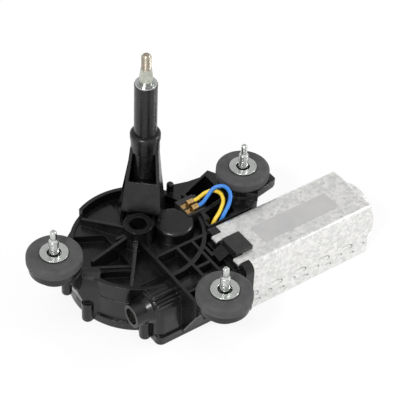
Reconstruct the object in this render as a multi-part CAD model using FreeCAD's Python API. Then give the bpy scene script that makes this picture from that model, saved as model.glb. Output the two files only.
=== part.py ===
import FreeCAD, Part
import math
import os

# Rear wiper motor. Millimetres, +Z up along the wiper spindle, +X along the motor.
# The origin lies on the spindle axis, in the plane that the cover and the can stand on.

V = FreeCAD.Vector
Z_UP = V(0, 0, 1)
X_ALONG = V(1, 0, 0)
Y_ALONG = V(0, 1, 0)

# Fits
face_gap = 0.3
slip_gap = 0.03
loose_gap = 0.25
tiny = 0.001
cut_over = 1.0
merge = 1.0

# Axes of the gear train, seen from above
wheel_x = -18.0
wheel_y = -20.0
pivot_x = 5.4
pivot_y = -24.8
worm_z = 21.0

# Housing drum
drum_r = 42.0
drum_wall = 2.6
parting_z = 22.0
parting_step = 0.35
rim_low_z = 34.0
rim_high_z = 40.0
rim_high_from = -94.0
rim_high_to = 117.0
floor_z = 33.0
floor_t = 2.5
flange_t = 3.0
flange_lip = 1.6

# Cover, seal and screws
cover_t = 3.0
seal_w = 1.2
seal_t = 0.8
screw_r = 1.3
screw_head_r = 2.3
screw_head_t = 1.6
screw_sink = 0.2
screw_len = 11.0
lug_r = 3.6
lug_h = 12.0
lug_round = 1.3
lug_web_share = 0.85
screw_angles = (20.0, 66.0, 106.0, 150.0, 195.0)
lug_offset = 3.6
lug_near_worm_angle = 242.0
lug_near_worm_offset = 6.5

# Boss on the wheel axis and ribs on the drum's top
boss_r = 9.0
boss_hole_r = 5.5
boss_z = 48.0
boss_hole_depth = 11.0
rib_t = 1.9
rib_apex_z = 42.0
radial_ribs = {124.0: (37.5, 38.0), 184.5: (35.0, 37.0), 231.0: (40.0, 33.5)}
short_rib_angle = 166.0
short_rib_len = 5.0
short_rib_z = 41.0
short_rib_drop = 1.5
lattice_z = 40.0
lattice_y = -43.0
lattice_x = (-20.9, -5.1, 5.8, 9.5)
lattice_end_x = 22.0
lattice_short_y0 = -51.0
lattice_short_y1 = -60.6
lattice_far_y = -63.6
back_bar_start = (14.5, 1.5)
back_bar_end = (21.0, -11.6)
seat_bar_start = (16.5, -10.6)
seat_bar_end = (26.0, -10.3)
back_bar_foot = (12.0, 2.0)
plateau_t = 1.6
plateau_from = 143.0
plateau_to = 108.0
plateau_inset = 5.0
trough_y = -52.6
trough_z = 31.8

# Cap over the sector pivot
cap_r = 12.5
cap_z = 42.0
cap_round = 2.4
cap_wall = 2.6
cap_flat = 9.6
cap_flat_angle = 26.0

# Tower
tower_r = 7.0
tower_z = 135.5
sleeve_r = 9.4
sleeve_body_r = 8.9
sleeve_band = 4.5
sleeve_top = 99.0
sleeve_low = 86.0
sleeve_round = 1.8
core_r = 7.6
fin_t = 2.0
fin_foot_z = 33.0
fin_left_reach = 17.5
fin_right_reach = 13.8
fin_back_reach = 15.0
gusset_offset = 7.8
gusset_splay = 5.0
plate_top_z = 66.0
plate_low_z = 46.5
plate_top_reach = 10.5
plate_low_reach = 16.6
plate_w = 21.0
plate_t = 2.0
plate_taper = 1.4
gusset_foot_step = 3.0
gusset_over = 2.0

# Spindle
spindle_r = 4.0
spindle_low_z = 26.9
spindle_tip_z = 157.0
cone_low_z = 139.0
cone_high_z = 147.0
thread_r = 3.0
thread_chamfer = 0.7
spindle_room = 1.0
bush_r = 5.5
bush_upper_len = 16.0
bush_lower_len = 14.0
thread_end_round = 1.1
cone_base_r = 4.2
cone_step = 0.3
washer_r = 6.7
washer_t = 0.8
clip_r = 5.5
clip_t = 0.9
clip_groove = 0.5
clip_play = 0.1
clip_mouth = 3.2

# Worm gear
wheel_teeth = 60
wheel_gap = 3.44
worm_pitch_r = 6.2
wheel_face = 5.5
wheel_hub_r = 8.0
wheel_hub_len = 12.0
wheel_web_t = 3.0
wheel_rim_w = 4.0
worm_len = 30.0
worm_root_grow = 0.5
worm_tip_narrow = 0.55
worm_thread_sink = 0.4
tooth_backlash = 0.35
ring_inset = 7.8
ring_w = 5.0
ring_t = 0.6
notch_from = 200.0
notch_to = 216.0
axle_r = 4.0
axle_seat_r = 8.5
axle_seat_z = 9.0

# Crank, rod and sector
crank_r = 7.2
crank_pin_r = 2.6
rod_t = 2.3
rod_eye_r = 4.6
rod_w = 6.0
pinion_teeth = 12
sector_teeth = 30
sector_t = 3.4
sector_span = 66.0
sector_hub_r = 8.0
lever_r = 17.0
lever_w = 8.0
lever_eye_r = 5.4
lever_angle = 213.0
swing_spindle = 125.0
pivot_pin_r = 3.0
pivot_head_r = 4.3
pivot_head_t = 1.0
pivot_boss_r = 6.0
stack_gap = 0.35

# Worm tunnel
tunnel_r = 12.5
tunnel_bore_r = 7.9
tunnel_past_worm = 5.5
tunnel_back = 10.0
tunnel_end_t = 2.5
well_left = 6.0
well_right = 12.0
well_front = 6.0
nose_r = 7.6
nose_bore_r = 5.3
nose_len = 8.0
nose_root_past = 3.1
nose_step = 0.2
nose_flare = 2.4
ridge_r = 2.0
ridge_start = 2.2
ridge_angles = (21.0, 47.0)
tunnel_corner = 5.5
tunnel_round = 2.0
foot_corner = 4.0
foot_reach = 1.2
end_bush_len = 6.0
end_bush_gap = 0.4
plug_len = 3.0

# Contacts under the wheel
board_near = 12.0
board_clear = 7.4
board_long = 14.0
board_short = 12.0
board_t = 1.6
rub_gap = 0.1
strip_w = 1.0
strip_foot = 8.0
strip_bend = 1.0
strip_rise = 5.0
strip_tip = 7.0
strip_lap = 0.2
spring_insets = (0.9, 2.6, 4.3)

# Motor
can_x0 = 24.0
can_len = 94.0
can_w = 40.0
can_h = 42.0
can_wall = 2.0
can_round = 3.0
can_boss_r = 18.0
can_boss_len = 5.0
shaft_r = 4.0
shaft_chamfer = 0.5
shaft_play = 0.2
shaft_past_can = 2.0
core_x0 = 50.0
core_len = 42.0
core_out_r = 13.3
air_gap = 0.7
magnet_t = 3.6
magnet_len = 52.0
magnet_half_angle = 58.0
slot_count = 8
slot_w = 3.4
slot_depth = 5.5
slot_mouth = 1.4
slot_lip = 1.2
slot_lining = 0.2
coil_round = 1.6
winding_len = 6.5
spring_t = 0.5
winding_r = 12.4
comm_x0 = 29.5
comm_len = 11.0
comm_r = 8.0
comm_slit_w = 0.6
comm_slit_depth = 1.2
brush_w = 6.0
brush_t = 4.6
brush_len = 6.5
brush_gap = 0.05
brush_inset = 1.0
guide_wall = 1.4
guide_gap = 0.1
guide_end = 1.0
guide_clear = 1.2
spring_r = 1.9
spring_len = 2.6
front_bearing_r = 9.0
front_bearing_len = 7.0
rear_bush_r = 8.0
rear_bush_len = 8.0

# Motor flange of the housing and key block of the brush plate
flange_x0 = 18.0
flange_margin = 2.4
flange_rim_len = 4.0
flange_rim_inset = 4.0
flange_rim_drop = 5.0
plate_x1 = 28.0
block_x1 = 31.4
block_z = 45.0
block_y0 = -70.7
block_y1 = -56.0
ear_w = 5.4
ear_len = 7.6
ear_t = 1.8
ear_back_gap = 1.9
ear_front_gap = 0.6
ear_end_gap = 0.4
ear_under_gap = 0.1
plate_gap = 0.2
plate_hole_gap = 1.0
key_inset = 1.0
key_gap = 0.1

# Mounts: stud axes, seen from above
mount_z = 56.0
stud_places = {"left": (-77.0, -20.0), "right": (61.0, -19.0), "front": (-10.0, -99.0)}
arm_angles = {"left": 0.0, "right": 190.0, "front": 90.0}
grommet_r = 17.0
grommet_top_z = 54.9
eye_z = 47.5
eye_t = 4.5
eye_hole_r = 9.2
eye_r = 15.6
skirt_r = 16.0
skirt_wall = 2.4
skirt_z = 31.0
hollow_low_z = {"left": skirt_z, "right": 11.0, "front": skirt_z}
grommet_low_r = 12.8
grommet_low_z = 38.5
sleeve_in_r = 4.1
sleeve_out_r = 5.6
sleeve_flange_r = 8.6
stud_r = 3.0
stud_shoulder_r = 4.05
stud_shoulder_z = 50.0
stud_relief_r = 2.7
stud_thread_z = 65.3
stud_pilot_r = 2.0
stud_tip_z = 73.0
stud_collar_r = 8.0
stud_collar_t = 2.5

# Arms
arm_wall = 2.4
arm_left_high_z = 35.5
arm_left_round = 7.5
arm_left_front = (38.7, -16.5)
arm_left_at_eye = ((9.0, -9.5), (6.0, 12.0))
arm_left_at_drum = ((30.0, 28.5), (31.0, 22.0), (33.6, -11.0))
arm_left_wall_end = (45.2, -0.6)
arm_left_foot = 42.5
arm_left_foot_end = 8.5
arm_left_foot_drop = 3.0
arm_left_core = 43.5
arm_left_core_front = 10.5
arm_left_core_back = 14.0
arm_left_core_at_eye = ((13.5, -4.5), (13.0, 7.5))
arm_right_low_z = 12.0
arm_right_high_z = 42.0
pocket_floor_z = 16.0
lead_outlet_x0 = 21.8
lead_outlet_x1 = 36.0
lead_outlet_wall = 0.9
lead_outlet_deep = 6.0
arm_right_step_edge = [(19.0, 3.6), (26.6, 6.4), (35.0, 4.0), (50.0, 2.2)]
arm_right_back_edge = [(18.6, -9.0), (49.0, 1.8)]
arm_right_tail = (8.0, 13.5)
tail_low_x = 2.5
tail_low_y = 2.0
tail_foot_x = 8.5
arm_right_near = 38.0
arm_lap = 0.2
pocket_back_corners = [(24.6, -8.6), (45.0, -1.5), (45.0, -23.0), (29.4, -26.0), (29.4, -12.2), (24.6, -12.2)]
pocket_front_corners = [(25.4, -29.0), (44.0, -25.6)]
pocket_front_x = (41.5, 25.4)
shelf_corners = ((-4.0, -10.0), (10.0, 8.0), (16.0, -7.6), (16.0, -13.1), (13.7, -14.5), (0.0, -17.0),
                 (-2.5, -20.0), (-7.0, -14.0))
back_post_place = (19.6, 0.8)
arm_right_step_z = 37.5
back_post_r = 2.3
back_post_z = 46.5
channel_near = 14.8
channel_bend = (30.8, 24.3)
channel_back_step = 1.0
channel_front_step = 2.0
channel_far_back = 8.5
channel_far_front = 2.2
# Corners left of and behind the wheel axis, and how each moves when the pocket is grown by a wall
pocket_corners = ((17.3, -18.8, -1, 1), (33.0, -10.4, 1, 1), (38.6, -17.0, 1, 1), (38.6, -34.0, 1, 0),
                  (27.8, -34.0, -1, 0))
channel_floor_z = 27.5
channel_t = 2.3
holder_wall_z = 42.4
ring_wall_z = 44.5
ring_wall_t = 2.2
ramp_w = 9.0
ramp_t = 3.0
ramp_inset = 0.4
ramp_drop = 0.5
ramp_x0 = 11.0
ramp_z = 38.0
hang_post_r = 3.2
hang_post_low_z = 18.0
hang_post_high_z = 30.0
hang_post_place = (-69.9, -21.2)
web_slope = 1.81
web_ends = (11.0, 15.0, 16.0)
web_floor_t = 3.0
front_wall_z = 36.0
collar_low_reach = 8.3
collar_high_reach = -0.2
split_left_x = -60.2
split_left_z = 15.2
split_drum_z = 29.4
split_front_y = -74.8
split_right_x = 24.3
split_tower_z = 48.2

# Terminals and leads
holder_x0 = 14.8
holder_x1 = 27.6
holder_y0 = -26.8
holder_y1 = -11.6
holder_z0 = 36.0
holder_z = 43.0
holder_room = 5.0
seat_left = 0.6
seat_right = 1.0
seat_side = 0.2
terminal_w = 4.0
terminal_len = 8.6
terminal_t = 0.7
terminal_groove = 1.6
terminal_gap = 0.1
barrel_end = 9.4
barrel_r = 1.9
barrel_len = 4.6
lead_grip = 3.4
terminal_yellow_y = -17.8
terminal_blue_y = -22.9
lead_r = 1.25

tunnel_x0 = wheel_x - worm_len / 2 - tunnel_past_worm
nose_root_x = tunnel_x0 - nose_root_past
nose_x0 = nose_root_x - nose_len
ridge_x0 = tunnel_x0 + ridge_start
wheel_pitch_r = (drum_r - drum_wall - wheel_gap) / (1 + 2 / wheel_teeth)
worm_offset = wheel_pitch_r + worm_pitch_r
ring_out_r = wheel_pitch_r - ring_inset
ring_in_r = ring_out_r - ring_w
board_far = drum_r - drum_wall - board_clear
worm_y = wheel_y - worm_offset
front_root_y = worm_y - 8.0
wheel_module = 2 * wheel_pitch_r / wheel_teeth
worm_lead = math.pi * wheel_module
can_y0 = worm_y - can_w / 2
can_y1 = worm_y + can_w / 2
can_z0 = worm_z - can_h / 2
can_z1 = worm_z + can_h / 2
can_x1 = can_x0 + can_len
ceiling_z = floor_z - floor_t
wheel_z0 = worm_z - wheel_face / 2
wheel_z1 = worm_z + wheel_face / 2
rod_z0 = wheel_z1 + stack_gap
rod_z1 = rod_z0 + rod_t
sector_z0 = rod_z1 + stack_gap
sector_z1 = sector_z0 + sector_t
sector_distance = math.hypot(pivot_x, pivot_y)
gear_module = 2 * sector_distance / (pinion_teeth + sector_teeth)
pinion_pitch_r = gear_module * pinion_teeth / 2
sector_pitch_r = gear_module * sector_teeth / 2
to_pinion = math.degrees(math.atan2(-pivot_y, -pivot_x))
to_wheel = math.degrees(math.atan2(wheel_y, wheel_x))
swing_sector = swing_spindle * pinion_teeth / sector_teeth
W = V(wheel_x, wheel_y, 0)


def polar(radius, degrees):
    """Point in the plan at a radius and an angle."""
    a = math.radians(degrees)
    return V(radius * math.cos(a), radius * math.sin(a), 0)


def cyl(r, z0, z1, x=0.0, y=0.0):
    """Upright cylinder between two heights."""
    return Part.makeCylinder(r, z1 - z0, V(x, y, z0))


def rod_x(r, x0, x1, y=worm_y, z=worm_z):
    """Cylinder along X."""
    return Part.makeCylinder(r, x1 - x0, V(x0, y, z), X_ALONG)


def tube_x(r_out, r_in, x0, x1, y=worm_y, z=worm_z):
    """Tube along X."""
    return rod_x(r_out, x0, x1, y, z).cut(rod_x(r_in, x0, x1, y, z))


def block(x0, x1, y0, y1, z0, z1):
    """Box between two corners."""
    return Part.makeBox(x1 - x0, y1 - y0, z1 - z0, V(x0, y0, z0))


def prism(points, z0, z1):
    """Upright prism over a closed outline."""
    ring = [V(x, y, z0) for x, y in points]
    wire = Part.makePolygon(ring + [ring[0]])
    return Part.Face(wire).extrude(V(0, 0, z1 - z0))


def turned(points, x=0.0, y=0.0):
    """Solid of revolution about an upright axis from (radius, height) points."""
    ring = [V(r, 0, z) for r, z in points]
    face = Part.Face(Part.makePolygon(ring + [ring[0]]))
    solid = face.revolve(V(0, 0, 0), Z_UP, 360)
    solid.translate(V(x, y, 0))
    return solid


def turned_x(points, y=worm_y, z=worm_z):
    """Solid of revolution about an axis along X from (place, radius) points."""
    ring = [V(x, r, 0) for x, r in points]
    face = Part.Face(Part.makePolygon(ring + [ring[0]]))
    solid = face.revolve(V(0, 0, 0), X_ALONG, 360)
    solid.translate(V(0, y, z))
    return solid


def slab(p, q, t, z0, z1):
    """Upright wall of thickness t from plan point p to q."""
    d = V(q[0] - p[0], q[1] - p[1], 0)
    side = V(-d.y, d.x, 0).normalize() * (t / 2)
    a = V(p[0], p[1], 0)
    b = V(q[0], q[1], 0)
    corners = [a + side, b + side, b - side, a - side]
    return prism([(c.x, c.y) for c in corners], z0, z1)


def ramp(p, zp, q, zq, t, z0):
    """Upright wall from p to q whose top edge runs from zp to zq."""
    a = V(p[0], p[1], z0)
    b = V(q[0], q[1], z0)
    side = V(-(b - a).y, (b - a).x, 0).normalize() * t
    outline = [a, b, V(b.x, b.y, zq), V(a.x, a.y, zp)]
    face = Part.Face(Part.makePolygon([c - side * 0.5 for c in outline + [a]]))
    return face.extrude(side)


def top_rounded(solid, r):
    """Solid with the rim of its highest face rounded."""
    top = solid.BoundBox.ZMax
    return solid.makeFillet(r, [e for e in solid.Edges if e.BoundBox.ZMin > top - tiny])


def foot_rounded(solid, r):
    """Solid with the rim of its lowest face rounded."""
    low = solid.BoundBox.ZMin
    return solid.makeFillet(r, [e for e in solid.Edges if e.BoundBox.ZMax < low + tiny])


def corner_rounded(solid, x, y, r):
    """Solid with its upright edge at one plan point rounded."""
    edges = []
    for edge in solid.Edges:
        box = edge.BoundBox
        if max(abs(box.XMin - x), abs(box.XMax - x), abs(box.YMin - y), abs(box.YMax - y)) < tiny:
            edges.append(edge)
    return solid.makeFillet(r, edges)


def plate_yz(points, x0, x1):
    """Plate across X from an outline of (y, z) points."""
    ring = [V(x0, y, z) for y, z in points]
    return Part.Face(Part.makePolygon(ring + [ring[0]])).extrude(V(x1 - x0, 0, 0))


def plate_xz(points, y0, y1):
    """Plate across Y from an outline of (x, z) points."""
    ring = [V(x, y0, z) for x, z in points]
    return Part.Face(Part.makePolygon(ring + [ring[0]])).extrude(V(0, y1 - y0, 0))


def fused(shapes):
    """One solid from touching shapes, with seams removed."""
    result = shapes[0].multiFuse(shapes[1:]) if len(shapes) > 1 else shapes[0]
    return result.removeSplitter()


def rounded_bar_x(x0, x1, y0, y1, z0, z1, r):
    """Box along X with its four long edges rounded."""
    bar = block(x0, x1, y0, y1, z0, z1)
    if r <= 0:
        return bar
    long_edges = [e for e in bar.Edges if abs(e.Vertexes[0].X - e.Vertexes[-1].X) > (x1 - x0) / 2]
    return bar.makeFillet(r, long_edges)


def gear_outline(teeth, pitch_r, module, half_tooth, addendum=1.0, dedendum=1.2):
    """Corner points of a straight-flanked gear whose first tooth points along +X."""
    points = []
    step = 2 * math.pi / teeth
    for i in range(teeth):
        centre = i * step
        for r, share in (
            (pitch_r - dedendum * module, -1.45),
            (pitch_r + addendum * module, -0.55),
            (pitch_r + addendum * module, 0.55),
            (pitch_r - dedendum * module, 1.45),
        ):
            a = centre + share * half_tooth / pitch_r
            points.append((r * math.cos(a), r * math.sin(a)))
    return points


# Gear housing

def wedge(a0, a1, r, z0, z1):
    """Pie slice about the wheel axis."""
    steps = 12
    points = [(wheel_x, wheel_y)]
    for i in range(steps + 1):
        p = W + polar(r, a0 + (a1 - a0) * i / steps)
        points.append((p.x, p.y))
    return prism(points, z0, z1)


def rib_end(angle, radius):
    p = W + polar(radius, angle)
    return (p.x, p.y)


def drum_shell():
    """Drum wall with its low and high rims, floor, lower flange and parting step."""
    low = cyl(drum_r, cover_t, rim_low_z, wheel_x, wheel_y)
    high = cyl(drum_r, cover_t, rim_high_z, wheel_x, wheel_y)
    high = high.cut(wedge(rim_high_to, rim_high_from + 360, 2 * drum_r, cover_t, rim_high_z))
    skirt = cyl(drum_r + parting_step, cover_t, parting_z, wheel_x, wheel_y)
    lip = cyl(drum_r + flange_lip, cover_t, cover_t + flange_t, wheel_x, wheel_y)
    inner = cyl(drum_r - drum_wall, channel_floor_z, rim_high_z + cut_over, wheel_x, wheel_y)
    top = cyl(drum_r - drum_wall, floor_z, rim_high_z + cut_over, wheel_x, wheel_y)
    channel = prism(channel_outline(0), channel_floor_z, rim_high_z + cut_over)
    trough = block(wheel_x - drum_r, lattice_x[0], wheel_y - drum_r, trough_y, trough_z,
                   rim_high_z + cut_over)
    shell = fused([low, high, skirt, lip])
    shell = shell.cut(block(can_x0, can_x0 + drum_r, can_y0, can_y1 + face_gap, 0, can_z1 + face_gap))
    for hollow in (top, channel, front_pocket(0).common(inner), trough.common(inner)):
        shell = shell.cut(hollow)
    return shell


def front_pocket(grow):
    """Low floor between the left arm's front wall and the drum's front rim."""
    corners = []
    for left, back, side, ahead in pocket_corners:
        corners.append(from_wheel(left + side * grow, back + ahead * grow))
    return prism(corners, channel_floor_z, rim_high_z + cut_over)


def cavity():
    """Room for the worm wheel and linkage, lower under the two low floors."""
    inner = cyl(drum_r - drum_wall, 0, ceiling_z, wheel_x, wheel_y)
    low = channel_floor_z - channel_t
    inner = inner.cut(prism(channel_outline(channel_t), low, ceiling_z + 1))
    beyond = front_pocket(channel_t)
    beyond.translate(V(0, 0, -channel_t))
    return inner.cut(beyond)


def screw_places():
    places = [W + polar(drum_r + lug_offset, a) for a in screw_angles]
    places.append(W + polar(drum_r + lug_near_worm_offset, lug_near_worm_angle))
    return places


def foot_plate(z0, z1):
    """Foot of the worm tunnel and motor flange."""
    y0 = worm_y - tunnel_r - foot_reach
    x1 = flange_x0 - flange_rim_len - face_gap
    return corner_rounded(block(tunnel_x0, x1, y0, wheel_y, z0, z1), tunnel_x0, y0, foot_corner)


def tower():
    """Spindle tower: tube, sleeve, core and gussets that face the wheel axis."""
    tube = cyl(tower_r, fin_foot_z, tower_z)
    band = top_rounded(cyl(sleeve_r, sleeve_top - sleeve_band, sleeve_top), sleeve_round)
    sleeve = cyl(sleeve_body_r, sleeve_low, sleeve_top - sleeve_band)
    core = cyl(core_r, ceiling_z, sleeve_low)
    parts = [tube, band, sleeve, core]
    fins = ((90.0, fin_right_reach), (180.0, fin_back_reach), (270.0, fin_left_reach))
    for turn, reach in fins:
        outline = [
            V(0, -fin_t / 2, ceiling_z), V(reach, -fin_t / 2, ceiling_z),
            V(sleeve_body_r - fin_t / 4, -fin_t / 2, sleeve_low), V(0, -fin_t / 2, sleeve_low),
        ]
        fin = Part.Face(Part.makePolygon(outline + [outline[0]])).extrude(V(0, fin_t, 0))
        fin.rotate(V(0, 0, 0), Z_UP, to_wheel + turn)
        parts.append(fin)
    top_reach = math.sqrt(sleeve_body_r ** 2 - gusset_offset ** 2)
    for side in (-1, 1):
        outline = [
            V(0, -fin_t / 2, ceiling_z), V(plate_low_reach - gusset_foot_step, -fin_t / 2, ceiling_z),
            V(plate_low_reach, -fin_t / 2, plate_low_z), V(plate_top_reach, -fin_t / 2, plate_top_z),
            V(top_reach, -fin_t / 2, sleeve_low + gusset_over), V(0, -fin_t / 2, sleeve_low + gusset_over),
        ]
        gusset = Part.Face(Part.makePolygon(outline + [outline[0]])).extrude(V(0, fin_t, 0))
        gusset.translate(V(0, side * gusset_offset, 0))
        gusset.rotate(V(0, side * gusset_offset, sleeve_low), X_ALONG, side * gusset_splay)
        gusset.rotate(V(0, 0, 0), Z_UP, to_wheel)
        parts.append(gusset)
    half = plate_w / 2
    sheet = [
        V(plate_low_reach, -half, plate_low_z), V(plate_top_reach, -half + plate_taper, plate_top_z),
        V(plate_top_reach, half - plate_taper, plate_top_z), V(plate_low_reach, half, plate_low_z),
    ]
    plate = Part.Face(Part.makePolygon(sheet + [sheet[0]])).extrude(V(-plate_t, 0, 0))
    plate.rotate(V(0, 0, 0), Z_UP, to_wheel)
    parts.append(plate)
    reach = math.hypot(wheel_x, wheel_y)
    for side, x1 in ((-1, reach), (0, reach - boss_r + merge), (1, reach)):
        y = side * (boss_r - ring_wall_t / 2)
        wall = block(0, x1, y - ring_wall_t / 2, y + ring_wall_t / 2, ceiling_z, ring_wall_z)
        wall.rotate(V(0, 0, 0), Z_UP, to_wheel)
        parts.append(wall)
    return fused(parts)


def drum_ribs():
    """Radial ribs, boss, cap and the square lattice towards the motor."""
    parts = [cyl(boss_r, ceiling_z, boss_z, wheel_x, wheel_y)]
    for angle, (reach, foot_z) in radial_ribs.items():
        parts.append(ramp(rib_end(angle, boss_r - merge), rib_apex_z, rib_end(angle, reach), foot_z, rib_t,
                          channel_floor_z - merge))
    near = rib_end(short_rib_angle, boss_r - merge)
    far = rib_end(short_rib_angle, boss_r + short_rib_len)
    parts.append(ramp(near, short_rib_z, far, short_rib_z - short_rib_drop, rib_t, ceiling_z))
    cap = top_rounded(cyl(cap_r, ceiling_z, cap_z, pivot_x, pivot_y), cap_round)
    chord = block(cap_flat, 2 * cap_r, -2 * cap_r, 2 * cap_r, ceiling_z, cap_z + cut_over)
    chord.rotate(V(0, 0, 0), Z_UP, cap_flat_angle)
    chord.translate(V(pivot_x, pivot_y, 0))
    parts.append(cap.cut(chord))
    x_1, x_2, x_3, x_4 = lattice_x
    lattice = [
        ((x_1, wheel_y - boss_r), (x_1, front_root_y)),
        ((x_1, lattice_y), (lattice_end_x, lattice_y)),
        ((x_2, lattice_y), (x_2, front_root_y)),
        ((x_3, lattice_y), (x_3, front_root_y)),
        ((x_4, lattice_short_y0), (x_4, lattice_short_y1)),
        ((x_2, lattice_far_y), (x_3, lattice_far_y)),
        (back_bar_foot, (pivot_x, pivot_y + cap_r - merge)),
        (back_bar_start, back_bar_end),
        (seat_bar_start, seat_bar_end),
    ]
    for p, q in lattice:
        parts.append(slab(p, q, rib_t, ceiling_z, lattice_z))
    parts.append(wedge(to_wheel - plateau_from, to_wheel - plateau_to, drum_r - plateau_inset,
                       ceiling_z + merge, floor_z + plateau_t))
    return parts


def front_arm():
    """Webs from the worm tunnel to the front eye, deep at the tunnel and shallow at the eye."""
    y_f = stud_places["front"][1]
    y_wall = worm_y - tunnel_r - rib_t / 2
    parts = []
    for x, reach in zip(lattice_x, web_ends):
        y_end = y_f + reach
        low = cover_t + (y_wall - y_end) * web_slope
        outline = [(front_root_y, cover_t), (y_wall, cover_t), (y_end, low), (y_end, lattice_z),
                   (front_root_y, lattice_z)]
        parts.append(plate_yz(outline, x - rib_t / 2, x + rib_t / 2))
    parts.append(slab((lattice_x[0], y_wall), (flange_x0, y_wall), rib_t, cover_t, front_wall_z))
    parts.append(prism([(lattice_x[0], front_root_y), (lattice_x[2], front_root_y),
                        (lattice_x[2], y_f + web_ends[1]), (lattice_x[0], y_f + web_ends[0] - merge)],
                       skirt_z - web_floor_t, skirt_z))
    return parts


def from_wheel(left, back):
    """Plan point given as distances left of and behind the wheel axis."""
    return (wheel_x - left, wheel_y + back)


def channel_outline(grow):
    """Low floor between the wheel axis and the left eye, seen from above."""
    x_l, y_l = stud_places["left"]
    near = channel_near - grow
    far = x_l + skirt_r - grow
    return [
        from_wheel(near, channel_near + channel_back_step + grow),
        from_wheel(channel_bend[0] - grow, channel_bend[1] + grow),
        (far, y_l + channel_far_back + grow),
        (far, y_l - channel_far_front - grow),
        from_wheel(near, -channel_near - channel_front_step - grow),
    ]


def left_arm():
    """Channel-shaped arm to the left eye, with a foot that climbs away from the base."""
    x_l, y_l = stud_places["left"]
    wall_near = from_wheel(channel_near, -channel_near - channel_front_step - merge)
    outline = [from_wheel(*arm_left_front)]
    outline += [(x_l + right, y_l + back) for right, back in arm_left_at_eye]
    outline += [from_wheel(*corner) for corner in arm_left_at_drum]
    body = prism(outline, cover_t, arm_left_high_z)
    brow = (V(*outline[0], arm_left_high_z) + V(*outline[1], arm_left_high_z)) / 2
    body = body.makeFillet(arm_left_round, [e for e in body.Edges if (e.CenterOfMass - brow).Length < tiny])
    away = x_l - 2 * skirt_r
    foot_x = wheel_x - arm_left_foot
    high = skirt_z - arm_left_foot_drop
    sole = [(away, 0), (foot_x, 0), (foot_x, cover_t), (x_l + arm_left_foot_end, high), (away, high)]
    body = body.cut(plate_xz(sole, y_l - drum_r, y_l + drum_r))
    body = body.cut(prism(channel_outline(0), channel_floor_z, arm_left_high_z + cut_over))
    core = [from_wheel(arm_left_core, -arm_left_core_front)]
    core += [(x_l + right, y_l + back) for right, back in arm_left_core_at_eye]
    core += [from_wheel(arm_left_core, arm_left_core_back)]
    core = prism(core, 0, channel_floor_z - channel_t)
    wall = slab(wall_near, from_wheel(*arm_left_wall_end), rib_t, channel_floor_z - merge, rim_low_z + merge)
    return [body.cut(core), wall]


def right_arm():
    """Open box with two pockets, between the drum, the right eye and the can."""
    x_r, y_r = stud_places["right"]
    low_y = can_y1 + face_gap
    tail = [
        (x_r - arm_right_tail[0], y_r + arm_right_tail[1]), (x_r - tail_low_x, low_y + tail_low_y),
        (x_r - tail_foot_x, low_y), (wheel_x + arm_right_near, low_y),
    ]
    step = prism(arm_right_step_edge + tail, arm_right_low_z, arm_right_step_z)
    box = prism(arm_right_back_edge + tail, arm_right_low_z, arm_right_high_z)
    body = step.fuse(box)
    pocket_one = prism(pocket_back_corners, pocket_floor_z, arm_right_high_z + cut_over)
    front = [(x, low_y + arm_wall) for x in pocket_front_x]
    pocket_two = prism(pocket_front_corners + front, pocket_floor_z, arm_right_high_z + cut_over)
    outlet = block(lead_outlet_x0, lead_outlet_x1, low_y + lead_outlet_wall, low_y + lead_outlet_deep,
                   pocket_floor_z, arm_right_high_z + cut_over)
    shelf = prism([(x_r + right, y_r + back) for right, back in shelf_corners], arm_right_high_z, eye_z)
    post = top_rounded(cyl(back_post_r, skirt_z, back_post_z, *back_post_place), back_post_r * 0.6)
    body = body.cut(pocket_one).cut(pocket_two).cut(outlet)
    inside = cyl(drum_r - arm_lap, 0, arm_right_high_z + cut_over, wheel_x, wheel_y)
    return [body.cut(inside), shelf, post]


def eye(place, arm_angle):
    """Eye plate that the grommet sits in, with a collar under it on the arm's side."""
    x, y = place
    plate = cyl(eye_r, eye_z - eye_t, eye_z, x, y)
    collar = cyl(skirt_r, skirt_z, eye_z - eye_t, x, y)
    collar = collar.cut(cyl(skirt_r - skirt_wall, skirt_z - cut_over, eye_z, x, y))
    away = -2 * skirt_r
    outer = plate_xz([(collar_low_reach, skirt_z), (collar_high_reach, eye_z - eye_t), (away, eye_z - eye_t),
                      (away, skirt_z - 1), (collar_low_reach, skirt_z - 1)], away, -away)
    outer.rotate(V(0, 0, 0), Z_UP, arm_angle)
    outer.translate(V(x, y, 0))
    return [plate, collar.cut(outer)]


def eye_hollow(place, low_z):
    """Room for the grommet and the stud's collar."""
    x, y = place
    hollow = cyl(skirt_r - skirt_wall, low_z, eye_z - eye_t, x, y)
    return hollow.fuse(cyl(eye_hole_r, skirt_z, eye_z + 1, x, y))


def motor_flange():
    """Rounded square flange that closes the can's near end."""
    m = flange_margin
    plate = rounded_bar_x(flange_x0, can_x0, can_y0 - m, can_y1 + m, can_z0, can_z1, can_round + m)
    rim = rounded_bar_x(flange_x0 - flange_rim_len, flange_x0, can_y0 + flange_rim_inset,
                        can_y1 - flange_rim_inset, can_z0, can_z1 - flange_rim_drop, can_round)
    x1 = flange_x0 + merge
    slope = [(ramp_x0, ramp_z - ramp_t), (x1, ramp_z - ramp_t), (x1, can_z1 - ramp_drop), (ramp_x0, ramp_z)]
    ramp_body = plate_xz(slope, block_y1 - ramp_inset - ramp_w, block_y1 - ramp_inset)
    return [plate, rim, ramp_body]


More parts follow.
